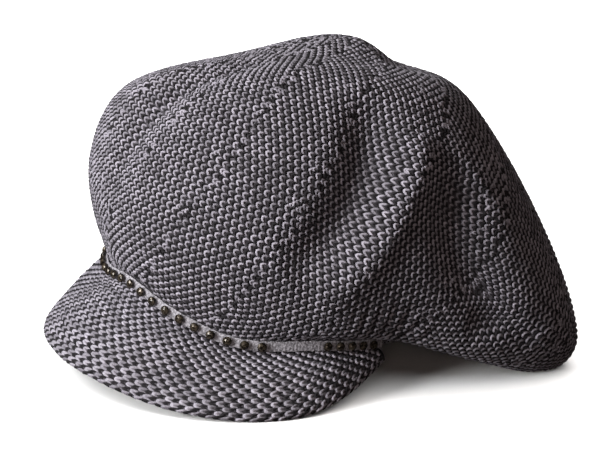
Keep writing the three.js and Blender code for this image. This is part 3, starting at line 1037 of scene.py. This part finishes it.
def stitch_tree():
    """Geometry nodes that put a loop of light or dark yarn on every point."""
    tree = bpy.data.node_groups.new("cap_stitches", "GeometryNodeTree")
    face = tree.interface
    for name, kind in (("Geometry", "Geometry"), ("Light loop", "Object"), ("Dark loop", "Object"),
                       ("Size spread", "Float"), ("Turn spread", "Float"), ("Seed", "Int"),
                       ("Material", "Material")):
        face.new_socket(name, in_out="INPUT", socket_type=f"NodeSocket{kind}")
    face.new_socket("Geometry", in_out="OUTPUT", socket_type="NodeSocketGeometry")
    nodes, link = tree.nodes, tree.links.new
    given = nodes.new("NodeGroupInput")
    result = nodes.new("NodeGroupOutput")

    def attribute(name, kind):
        node = nodes.new("GeometryNodeInputNamedAttribute")
        node.data_type = kind
        node.inputs["Name"].default_value = name
        return node.outputs["Attribute"]

    facing = nodes.new("FunctionNodeAxesToRotation")
    facing.primary_axis, facing.secondary_axis = "Z", "X"
    link(attribute("facing", "FLOAT_VECTOR"), facing.inputs["Primary Axis"])
    link(attribute("lying", "FLOAT_VECTOR"), facing.inputs["Secondary Axis"])
    sway = nodes.new("FunctionNodeRandomValue")
    sway.data_type = "FLOAT_VECTOR"
    limit = nodes.new("ShaderNodeVectorMath")
    limit.operation = "SCALE"
    limit.inputs[0].default_value = (1, 1, 1)
    link(given.outputs["Turn spread"], limit.inputs["Scale"])
    link(limit.outputs["Vector"], sway.inputs["Max"])
    back = nodes.new("ShaderNodeVectorMath")
    back.operation = "SCALE"
    back.inputs["Scale"].default_value = -1
    link(limit.outputs["Vector"], back.inputs[0])
    link(back.outputs["Vector"], sway.inputs["Min"])
    link(given.outputs["Seed"], sway.inputs["Seed"])
    turned = nodes.new("FunctionNodeRotateRotation")
    turned.rotation_space = "LOCAL"
    link(facing.outputs["Rotation"], turned.inputs["Rotation"])
    euler = nodes.new("FunctionNodeEulerToRotation")
    link(sway.outputs["Value"], euler.inputs["Euler"])
    link(euler.outputs["Rotation"], turned.inputs["Rotate By"])

    grow = nodes.new("FunctionNodeRandomValue")
    grow.data_type = "FLOAT"
    least = nodes.new("ShaderNodeMath")
    least.operation = "SUBTRACT"
    least.inputs[0].default_value = 1
    most = nodes.new("ShaderNodeMath")
    most.operation = "ADD"
    most.inputs[0].default_value = 1
    link(given.outputs["Size spread"], least.inputs[1])
    link(given.outputs["Size spread"], most.inputs[1])
    link(least.outputs[0], grow.inputs[RANDOM_LEAST])
    link(most.outputs[0], grow.inputs[RANDOM_MOST])
    link(given.outputs["Seed"], grow.inputs["Seed"])
    sized = nodes.new("ShaderNodeVectorMath")
    sized.operation = "SCALE"
    link(attribute("size", "FLOAT_VECTOR"), sized.inputs[0])
    link(grow.outputs[RANDOM_RESULT], sized.inputs["Scale"])

    is_light = nodes.new("FunctionNodeCompare")
    is_light.data_type = "FLOAT"
    is_light.operation = "GREATER_THAN"
    is_light.inputs[1].default_value = 0.5
    link(attribute("yarn", "FLOAT"), is_light.inputs[0])
    is_dark = nodes.new("FunctionNodeBooleanMath")
    is_dark.operation = "NOT"
    link(is_light.outputs[0], is_dark.inputs[0])

    joined = nodes.new("GeometryNodeJoinGeometry")
    for socket, chosen in (("Light loop", is_light), ("Dark loop", is_dark)):
        loop = nodes.new("GeometryNodeObjectInfo")
        link(given.outputs[socket], loop.inputs["Object"])
        placed = nodes.new("GeometryNodeInstanceOnPoints")
        link(given.outputs["Geometry"], placed.inputs["Points"])
        link(chosen.outputs[0], placed.inputs["Selection"])
        link(loop.outputs["Geometry"], placed.inputs["Instance"])
        link(turned.outputs["Rotation"], placed.inputs["Rotation"])
        link(sized.outputs["Vector"], placed.inputs["Scale"])
        link(placed.outputs["Instances"], joined.inputs["Geometry"])
    real = nodes.new("GeometryNodeRealizeInstances")
    link(joined.outputs["Geometry"], real.inputs["Geometry"])
    painted = nodes.new("GeometryNodeSetMaterial")
    link(real.outputs["Geometry"], painted.inputs["Geometry"])
    link(given.outputs["Material"], painted.inputs["Material"])
    link(painted.outputs["Geometry"], result.inputs["Geometry"])
    return tree


def knit_piece(name, points, normals, axis, size, yarn, loops, settings, material):
    """A piece of knit: a loop of yarn on every point, joined into one mesh."""
    cloud = bpy.data.meshes.new(name)
    cloud.from_pydata(((points + SHIFT) * MM).tolist(), [], [])
    chance = np.random.default_rng(settings.seed)
    for key, kind, values in (("facing", "FLOAT_VECTOR", normals), ("lying", "FLOAT_VECTOR", axis),
                              ("size", "FLOAT_VECTOR", size), ("yarn", "FLOAT", yarn),
                              ("shade", "FLOAT", chance.random(len(points)))):
        layer = cloud.attributes.new(key, kind, "POINT")
        layer.data.foreach_set("vector" if kind == "FLOAT_VECTOR" else "value",
                               np.asarray(values, dtype=np.float32).ravel())
    piece = bpy.data.objects.new(name, cloud)
    bpy.context.scene.collection.objects.link(piece)
    modifier = piece.modifiers.new("stitches", "NODES")
    modifier.node_group = bpy.data.node_groups.get("cap_stitches") or stitch_tree()
    values = {"Light loop": loops[0], "Dark loop": loops[1], "Size spread": settings.size_spread,
              "Turn spread": settings.turn_spread, "Seed": settings.seed, "Material": material}
    for item in modifier.node_group.interface.items_tree:
        if item.in_out == "INPUT" and item.name in values:
            modifier[item.identifier] = values[item.name]
    made = bpy.data.meshes.new_from_object(
        piece.evaluated_get(bpy.context.evaluated_depsgraph_get()))
    piece.modifiers.clear()
    piece.data = made
    made.name = name
    for key in ("facing", "lying", "size"):
        if key in made.attributes:
            made.attributes.remove(made.attributes[key])
    flatten_on_floor(made)
    return piece


def flatten_on_floor(mesh):
    """Presses what would reach below the floor flat, just above it."""
    places = np.empty(len(mesh.vertices) * 3, dtype=np.float32)
    mesh.vertices.foreach_get("co", places)
    places[2::3] = np.maximum(places[2::3], FLOOR_GAP * MM)
    mesh.vertices.foreach_set("co", places)
    mesh.update()


# Operators

class CAP_OT_crown_cloth(bpy.types.Operator):
    """Make the crown's cloth, a closed shell just under its stitches"""
    bl_idname = "cap.crown_cloth"
    bl_label = "Crown cloth"

    def execute(self, context):
        folded = crown_surface(CROWN_FOLDS + CROWN_GATHERS)
        turns = np.linspace(-180, 180, CROWN_CLOTH_TURNS, endpoint=False)
        runs = np.linspace(0, 1, CROWN_CLOTH_RUNS + 1)[1:]
        q = np.stack([runs * np.sin(np.radians(turns))[:, None],
                      runs * np.cos(np.radians(turns))[:, None]], axis=-1)
        points = folded.at(*np.broadcast_arrays(turns[:, None], runs))
        normals = folded.normal(q)
        hem = seam_points(turns)
        inner_hem = beside_seam(turns, -KNIT_THICKNESS * np.ones(len(turns)), 0)
        outer = np.concatenate([points - normals * CROWN_CLOTH_DEPTH, hem[:, None]], axis=1)
        inner = np.concatenate([points - normals * KNIT_THICKNESS, inner_hem[:, None]], axis=1)
        outer[..., 2] = np.maximum(outer[..., 2], 0)
        inner[..., 2] = np.maximum(inner[..., 2], CROWN_CLOTH_INNER_HEIGHT)
        loops = np.concatenate([outer, inner[:, ::-1]], axis=1).transpose(1, 0, 2)
        vertices, faces = skin(loops, False, False)
        count = len(turns)
        top, under = len(vertices), len(vertices) + 1
        vertices = np.concatenate([vertices, [CROWN_TOP - [0, 0, CROWN_CLOTH_DEPTH],
                                              CROWN_TOP - [0, 0, KNIT_THICKNESS]]])
        last = (len(loops) - 1) * count
        for j in range(count):
            faces.append((top, (j + 1) % count, j))
            faces.append((under, last + j, last + (j + 1) % count))
        piece = new_piece("crown_cloth", vertices, faces)
        outward_faces(piece)
        place = np.concatenate([q * CROWN_PATTERN_LENGTH,
                                q[:, -1:] * (CROWN_PATTERN_LENGTH + CROWN_PATTERN_HEM)], axis=1)
        place = np.concatenate([place, place[:, ::-1]], axis=1).transpose(1, 0, 2).reshape(-1, 2)
        set_uv(piece, np.concatenate([place, np.zeros((2, 2))]))
        inside = np.arange(len(vertices)) >= len(loops) // 2 * count
        inside[top] = False
        layer = piece.data.attributes.new("inside", "FLOAT", "POINT")
        layer.data.foreach_set("value", inside.astype(np.float32))
        finish_piece(piece, shared("cap_cloth_and_gap_shade", cloth_and_gap_shade_material, context), ["crown"])
        return {"FINISHED"}


def shared(name, make, context):
    """A material of the knit that several pieces share, made once."""
    return bpy.data.materials.get(name) or make(context.scene.cap_knit)


class CAP_OT_crown_knit(bpy.types.Operator):
    """Knit the crown, gore by gore, over its cloth"""
    bl_idname = "cap.crown_knit"
    bl_label = "Crown knit"

    def execute(self, context):
        settings = context.scene.cap_knit
        q, inside = crown_lattice(crown_surface(()), settings)
        folded = crown_surface(CROWN_FOLDS + CROWN_GATHERS)
        points = folded.on_disc(q)
        normals = folded.normal(q)
        axis, size = stitch_frames(points, normals, settings.course / MM, settings.wale / MM, 1, 2)
        course = np.arange(q.shape[1])[None, :, None]
        stitch = np.arange(q.shape[2])[None, None, :]
        yarn = np.broadcast_to((course + stitch) % 2, inside.shape).astype(float)
        inside, yarn = join_gores(points, axis, inside, yarn, settings.course / MM,
                                  settings.wale / MM)
        yarn_width = settings.yarn / MM
        points = points - normals * (CROWN_SEAT_SHARE * yarn_width - CROWN_SEAT_LIFT)
        loops = [loop_mesh(f"crown_loop_{steps}", CROWN_LOOP_LENGTH, settings.wale / MM, yarn_width,
                           CROWN_LOOP_SIDES, steps) for steps in CROWN_LOOP_STEPS]
        knit = shared("cap_knit", knit_material, context)
        for gore in range(GORE_COUNT):
            chosen = inside & (np.arange(GORE_COUNT) == gore)[:, None, None]
            piece = knit_piece(f"crown_knit_{gore + 1:02d}", points[chosen], normals[chosen],
                               axis[chosen], size[chosen], yarn[chosen], loops, settings, knit)
            finish_piece(piece, knit, ["crown"])
        return {"FINISHED"}


def peak_profile(turns, cross_steps, inset):
    """The peak's closed outline at these turns, shape (turns, points, 3), sunk by an inset."""
    reach = read_column(PEAK_SECTIONS, "reach", turns, False)
    root = beside_seam(turns, -ROOT_INSET * np.ones_like(turns), -PEAK_BELOW_SEAM)
    edge = beside_seam(turns, reach, 0)
    edge[:, 2] = read_column(PEAK_SECTIONS, "edge_height", turns, False)
    across = edge - root
    length = np.linalg.norm(across, axis=1)
    along = beside_seam(turns + 1, 0 * turns, 0) - beside_seam(turns - 1, 0 * turns, 0)
    upward = unit(np.cross(across, along))
    upward *= np.sign(upward[:, 2:])
    arch = PEAK_ARCH * np.minimum(1, length / PEAK_FULL_ARCH_WIDTH)
    share = np.linspace(0, 1, cross_steps)[None, :, None]
    top = (root[:, None] + across[:, None] * share
           + (upward * arch[:, None])[:, None] * np.sin(np.pi * share))
    level = np.array([0.0, 0.0, 1.0])
    through = (level * (1 - share) + upward[:, None] * share) * PEAK_THICKNESS
    bottom = top - through
    half = PEAK_THICKNESS / 2
    angle = np.linspace(0, np.pi, PEAK_RIM_PLACES)[1:-1][None, :, None]
    outwards = unit(across)[:, None]
    rim = (top[:, -1:] - upward[:, None] * half
           + half * (np.cos(angle) * upward[:, None]
                     + np.sin(angle) * outwards * PEAK_RIM_BULGE))
    middle = top - through / 2
    top = top + unit(middle - top) * inset
    bottom = bottom + unit(middle - bottom) * inset
    rim = rim + unit(middle[:, -1:] - rim) * inset
    return top, rim, bottom


class CAP_OT_peak_cloth(bpy.types.Operator):
    """Make the peak's stiff plate, just under its stitches"""
    bl_idname = "cap.peak_cloth"
    bl_label = "Peak cloth"

    def execute(self, context):
        turns = np.linspace(*edge_turns(), PEAK_CLOTH_TURNS)
        top, rim, bottom = peak_profile(turns, PEAK_CLOTH_STEPS, PEAK_CLOTH_DEPTH)
        loops = np.concatenate([top, rim, bottom[:, ::-1]], axis=1)
        vertices, faces = skin(loops, False, True)
        piece = new_piece("peak_cloth", vertices, faces)
        outward_faces(piece)
        set_uv(piece, vertices[:, :2])
        finish_piece(piece, shared("cap_cloth_and_gap_shade", cloth_and_gap_shade_material, context), ["peak"])
        return {"FINISHED"}


class CAP_OT_peak_knit(bpy.types.Operator):
    """Knit both sides of the peak in rows along its edge"""
    bl_idname = "cap.peak_knit"
    bl_label = "Peak knit"

    def execute(self, context):
        settings = context.scene.cap_knit
        fine_turns = np.linspace(*edge_turns(), PEAK_FINE_TURNS)
        _, rim, _ = peak_profile(fine_turns, PEAK_COARSE_STEPS, 0)
        edge = rim[:, rim.shape[1] // 2]
        along = np.concatenate([[0], np.cumsum(np.linalg.norm(np.diff(edge, axis=0), axis=1))])
        columns = int(along[-1] / (settings.peak_course / MM))
        turns = np.interp(np.linspace(0, along[-1], columns + 1), along, fine_turns)
        top, rim, bottom = peak_profile(turns, PEAK_FINE_STEPS, 0)
        path = np.concatenate([top, rim, bottom[:, ::-1]], axis=1)
        steps = np.linalg.norm(np.diff(path, axis=1), axis=2)
        run = np.concatenate([np.zeros((len(turns), 1)), np.cumsum(steps, axis=1)], axis=1)
        centre = run[:, PEAK_FINE_STEPS + rim.shape[1] // 2]
        wale = settings.peak_wale / MM
        rows = np.arange(-PEAK_ROWS, PEAK_ROWS + 1) * wale
        points = np.empty((len(turns), len(rows), 3))
        for k in range(len(turns)):
            for axis in range(3):
                points[k, :, axis] = np.interp(centre[k] + rows, run[k], path[k, :, axis])
        place = centre[:, None] + rows
        known = (place > PEAK_BARE_ROOT) & (place < run[:, -1:] - PEAK_BARE_ROOT)
        known[-1:] = False
        forward = np.gradient(points, axis=0)
        sideways = np.gradient(points, axis=1)
        normals = unit(np.cross(forward, sideways))
        middle = path.mean(axis=1, keepdims=True)
        if ((points - middle) * normals)[known].sum() < 0:
            normals = -normals
        axis, size = stitch_frames(points, normals, settings.peak_course / MM, wale, 0, 1)
        yarn = (np.arange(len(turns))[:, None] + np.arange(len(rows))) % 2
        yarn_width = settings.yarn / MM
        points = points - normals * PEAK_SEAT_SHARE * yarn_width
        loops = [loop_mesh(f"peak_loop_{sides}", PEAK_LOOP_LENGTH, wale,
                           PEAK_YARN_SHARE * yarn_width, sides, steps)
                 for sides, steps in PEAK_LOOP_SIDES_AND_STEPS]
        knit = shared("cap_knit", knit_material, context)
        piece = knit_piece("peak_knit", points[known], normals[known], axis[known], size[known],
                           yarn[known], loops, settings, knit)
        finish_piece(piece, knit, ["peak"])
        return {"FINISHED"}


class CAP_OT_head_band(bpy.types.Operator):
    """Make the head band inside the seam"""
    bl_idname = "cap.head_band"
    bl_label = "Head band"

    def execute(self, context):
        turns = np.linspace(-180, 180, BAND_TURNS, endpoint=False)
        outer = -KNIT_THICKNESS - BAND_GAP
        inner = outer - BAND_THICKNESS
        low, high = BAND_LOW, BAND_HIGH
        ring = []
        for angle in np.linspace(0, 2 * np.pi, BAND_RING_POINTS, endpoint=False):
            c = squared(math.cos(angle), BAND_SQUARENESS[0])
            s = squared(math.sin(angle), BAND_SQUARENESS[1])
            out = (inner + outer) / 2 + (outer - inner) / 2 * c
            up = (low + high) / 2 + (high - low) / 2 * s
            ring.append(beside_seam(turns, out * np.ones_like(turns), up))
        loops = np.stack(ring, axis=1)
        vertices, faces = skin(loops, True, False)
        piece = new_piece("head_band_cloth", vertices, faces)
        outward_faces(piece)
        set_uv(piece, along_and_around(loops, True))
        finish_piece(piece, shared("cap_band", band_material, context), ["head_band"])
        return {"FINISHED"}


class CAP_OT_ribbon(bpy.types.Operator):
    """Make the narrow ribbon over the seam"""
    bl_idname = "cap.ribbon"
    bl_label = "Ribbon"

    def execute(self, context):
        settings = context.scene.cap_trim
        turns = np.linspace(*edge_turns(), RIBBON_TURNS)
        height = settings.ribbon_width / MM
        sway = sum(rise * np.sin(turns * pace + start) for rise, pace, start in RIBBON_WAVES)
        ring = []
        for angle in np.linspace(0, 2 * np.pi, RIBBON_RING_POINTS, endpoint=False):
            c, s = math.cos(angle), math.sin(angle)
            out = RIBBON_MIDDLE + RIBBON_HALF_THICKNESS * squared(c, RIBBON_SQUARENESS)
            up = height / 2 * squared(s, RIBBON_SQUARENESS) + sway * s
            ring.append(beside_seam(turns, out * np.ones_like(turns),
                                    RIBBON_ABOVE_SEAM - height / 2 + up))
        loops = np.stack(ring, axis=1)
        vertices, faces = skin(loops, False, True)
        piece = new_piece("ribbon", vertices, faces)
        outward_faces(piece)
        set_uv(piece, along_and_around(loops, False))
        finish_piece(piece, ribbon_material(settings), ["trim_ribbon"])
        return {"FINISHED"}


class CAP_OT_beads(bpy.types.Operator):
    """Set a faceted bead at each bead of the frame"""
    bl_idname = "cap.beads"
    bl_label = "Beads"

    def execute(self, context):
        settings = context.scene.cap_trim
        vertices, faces = [], []
        names = sorted(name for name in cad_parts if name.startswith("bead_"))
        for name in names:
            low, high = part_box(name)
            centre = np.array((low + high) / 2) / MM - SHIFT
            turn = math.degrees(math.atan2(centre[0] / HEAD_HALF_WIDTH,
                                           -centre[1] / HEAD_HALF_LENGTH))
            near = beside_seam(np.array([turn]), np.array([0.0]), 0)[0]
            far = beside_seam(np.array([turn]), np.array([1.0]), 0)[0]
            away = unit(far - near)
            side = unit(np.cross(away, [0, 0, 1.0]))
            upright = np.cross(side, away)
            base = len(vertices)
            for row, (depth, radius) in enumerate(BEAD_ROWS):
                for k in range(BEAD_SIDES):
                    angle = 2 * math.pi * (k + 0.5 * (row % 2)) / BEAD_SIDES
                    vertices.append(centre + away * depth + radius * (
                        side * math.cos(angle) + upright * math.sin(angle)))
            for row in range(len(BEAD_ROWS) - 1):
                first, second = base + row * BEAD_SIDES, base + (row + 1) * BEAD_SIDES
                for k in range(BEAD_SIDES):
                    after = (k + 1) % BEAD_SIDES
                    upper, lower = (k, after) if row % 2 == 0 else (after, k)
                    faces.append((first + k, first + after, second + upper))
                    faces.append((second + k, second + after, first + lower))
            faces.append(tuple(base + k for k in range(BEAD_SIDES)))
            faces.append(tuple(len(vertices) - BEAD_SIDES + k for k in range(BEAD_SIDES)))
        piece = new_piece("beads", vertices, faces, smooth=False)
        outward_faces(piece)
        for name, colour, roughness in (("cap_bead_stone", settings.bead_stone, STONE_ROUGHNESS),
                                        ("cap_bead_rim", settings.bead_metal, RIM_ROUGHNESS)):
            piece.data.materials.append(bead_material(name, colour, roughness))
        rows = (len(BEAD_ROWS) - 1) * 2 * BEAD_SIDES + 2
        for face in piece.data.polygons:
            if face.index % rows < BEAD_RIM_ROWS * 2 * BEAD_SIDES:
                face.material_index = 1
        finish_piece(piece, piece.data.materials[0], names)
        return {"FINISHED"}


class CAP_OT_stage(bpy.types.Operator):
    """Make the floor, the lights and the camera"""
    bl_idname = "cap.stage"
    bl_label = "Stage"

    def execute(self, context):
        settings = context.scene.cap_stage
        self.place_camera(context.scene, settings)
        floor = self.lay_floor(context.scene)
        self.place_lights(settings)
        self.light_floor(context.scene, floor, settings.floor_power)
        self.surround(context.scene)
        context.scene.view_settings.view_transform = "Standard"
        return {"FINISHED"}

    def place_camera(self, scene, settings):
        """The camera, turned so that the look point stands at its place in the picture."""
        look_point = Vector((SHIFT[0] * MM, SHIFT[1] * MM, LOOK_HEIGHT * MM))
        azimuth, elevation, roll = settings.azimuth, settings.elevation, settings.roll
        back = Vector((math.sin(azimuth) * math.cos(elevation),
                       -math.cos(azimuth) * math.cos(elevation), math.sin(elevation)))
        level = Vector((math.cos(azimuth), math.sin(azimuth), 0))
        rise = back.cross(level)
        right = level * math.cos(roll) + rise * math.sin(roll)
        up = rise * math.cos(roll) - level * math.sin(roll)
        aside = PICTURE_WIDTH / 2 - LOOK_PIXEL[0]
        below = LOOK_PIXEL[1] - PICTURE_HEIGHT / 2
        sight = (-back * FOCAL_PIXELS + right * aside + up * below).normalized()
        across = (right - sight * right.dot(sight)).normalized()
        data = bpy.data.cameras.new("camera")
        data.sensor_width = SENSOR_WIDTH
        data.lens = SENSOR_WIDTH * FOCAL_PIXELS / PICTURE_WIDTH
        data.clip_start, data.clip_end = CLIP_NEAR * MM, CLIP_FAR * MM
        camera = bpy.data.objects.new("camera", data)
        scene.collection.objects.link(camera)
        turned = Matrix((across, across.cross(sight), -sight)).transposed().to_4x4()
        camera.matrix_world = Matrix.Translation(look_point + back * settings.distance) @ turned
        scene.camera = camera

    def lay_floor(self, scene):
        """The plain floor, which throws no light back on the cap."""
        work = bmesh.new()
        bmesh.ops.create_grid(work, x_segments=1, y_segments=1, size=FLOOR_HALF_SIZE * MM)
        mesh = bpy.data.meshes.new("floor")
        work.to_mesh(mesh)
        work.free()
        floor = bpy.data.objects.new("floor", mesh)
        scene.collection.objects.link(floor)
        material, shader, _, _ = node_material("floor_paint")
        shader.inputs["Base Color"].default_value = FLOOR_COLOUR
        shader.inputs["Roughness"].default_value = FLOOR_ROUGHNESS
        mesh.materials.append(material)
        floor.visible_diffuse = False
        floor.visible_glossy = False
        return floor

    def place_lights(self, settings):
        """The soft lights round the cap, at angles counted from the camera's own."""
        powers = {"key": settings.key_power, "fill": settings.fill_power,
                  "back": settings.back_power}
        target = Vector((SHIFT[0] * MM, SHIFT[1] * MM, LIGHT_AIM_HEIGHT * MM))
        for name, kind, turn, height, share, size in STAGE_LIGHTS:
            light = self.light(name, target, settings.azimuth + math.radians(turn),
                               math.radians(height), size * MM, powers[kind] * share)
            if kind == "fill":
                light.data.color = settings.fill_colour

    def light(self, name, target, turn, height, size, power):
        """One square area light that faces the cap, unseen by the camera."""
        data = bpy.data.lights.new(name, "AREA")
        data.size = size
        data.energy = power
        light = bpy.data.objects.new(name, data)
        bpy.context.scene.collection.objects.link(light)
        way = Vector((math.sin(turn) * math.cos(height), -math.cos(turn) * math.cos(height),
                      math.sin(height)))
        light.location = target + way * (LIGHT_DISTANCE * MM)
        light.rotation_mode = "QUATERNION"
        light.rotation_quaternion = way.to_track_quat("Z", "Y")
        light.visible_camera = False
        return light

    def light_floor(self, scene, floor, power):
        """The even light from straight above that falls on the floor alone."""
        sun = bpy.data.lights.new("floor_light", "SUN")
        sun.energy = power
        sun.angle = math.radians(FLOOR_LIGHT_SPREAD)
        overhead = bpy.data.objects.new("floor_light", sun)
        scene.collection.objects.link(overhead)
        lit = bpy.data.collections.new("floor_only")
        lit.objects.link(floor)
        overhead.light_linking.receiver_collection = lit

    def surround(self, scene):
        """White surroundings, which hardly light the cap."""
        world = bpy.data.worlds.new("studio")
        world.use_nodes = True
        background = world.node_tree.nodes["Background"]
        background.inputs["Color"].default_value = (1, 1, 1, 1)
        seen = world.node_tree.nodes.new("ShaderNodeLightPath")
        strength = world.node_tree.nodes.new("ShaderNodeMapRange")
        strength.inputs["To Min"].default_value = WORLD_LIGHT
        strength.inputs["To Max"].default_value = WORLD_SEEN
        world.node_tree.links.new(seen.outputs["Is Camera Ray"], strength.inputs["Value"])
        world.node_tree.links.new(strength.outputs["Result"], background.inputs["Strength"])
        scene.world = world


class CAP_PT_panel(bpy.types.Panel):
    """The cap's pieces and settings"""
    bl_label = "Knitted cap"
    bl_idname = "CAP_PT_panel"
    bl_space_type = "VIEW_3D"
    bl_region_type = "UI"
    bl_category = "Cap"

    def draw(self, context):
        for operator in PIECES:
            self.layout.operator(operator.bl_idname)
        for group in SETTINGS:
            settings = getattr(context.scene, group)
            box = self.layout.box()
            for name in settings.bl_rna.properties.keys():
                if name not in ("rna_type", "name"):
                    box.prop(settings, name)


PIECES = (CAP_OT_crown_cloth, CAP_OT_crown_knit, CAP_OT_peak_cloth, CAP_OT_peak_knit,
          CAP_OT_head_band, CAP_OT_ribbon, CAP_OT_beads, CAP_OT_stage)
SETTINGS = {"cap_knit": CapKnitSettings, "cap_trim": CapTrimSettings,
            "cap_stage": CapStageSettings}
SHIFT = row_frame_shift()


def register():
    """Makes the settings, the operators and the panel known."""
    for group in SETTINGS.values():
        bpy.utils.register_class(group)
    for piece in (*PIECES, CAP_PT_panel):
        bpy.utils.register_class(piece)
    for name, group in SETTINGS.items():
        setattr(bpy.types.Scene, name, PointerProperty(type=group))


def unregister():
    """Takes the settings, the operators and the panel away again."""
    for name in SETTINGS:
        delattr(bpy.types.Scene, name)
    for piece in (CAP_PT_panel, *reversed(PIECES)):
        bpy.utils.unregister_class(piece)
    for group in SETTINGS.values():
        bpy.utils.unregister_class(group)


def main():
    """Makes every piece and the stage."""
    register()
    for piece in PIECES:
        group, name = piece.bl_idname.split(".")
        getattr(getattr(bpy.ops, group), name)()


if __name__ == "__main__":
    main()
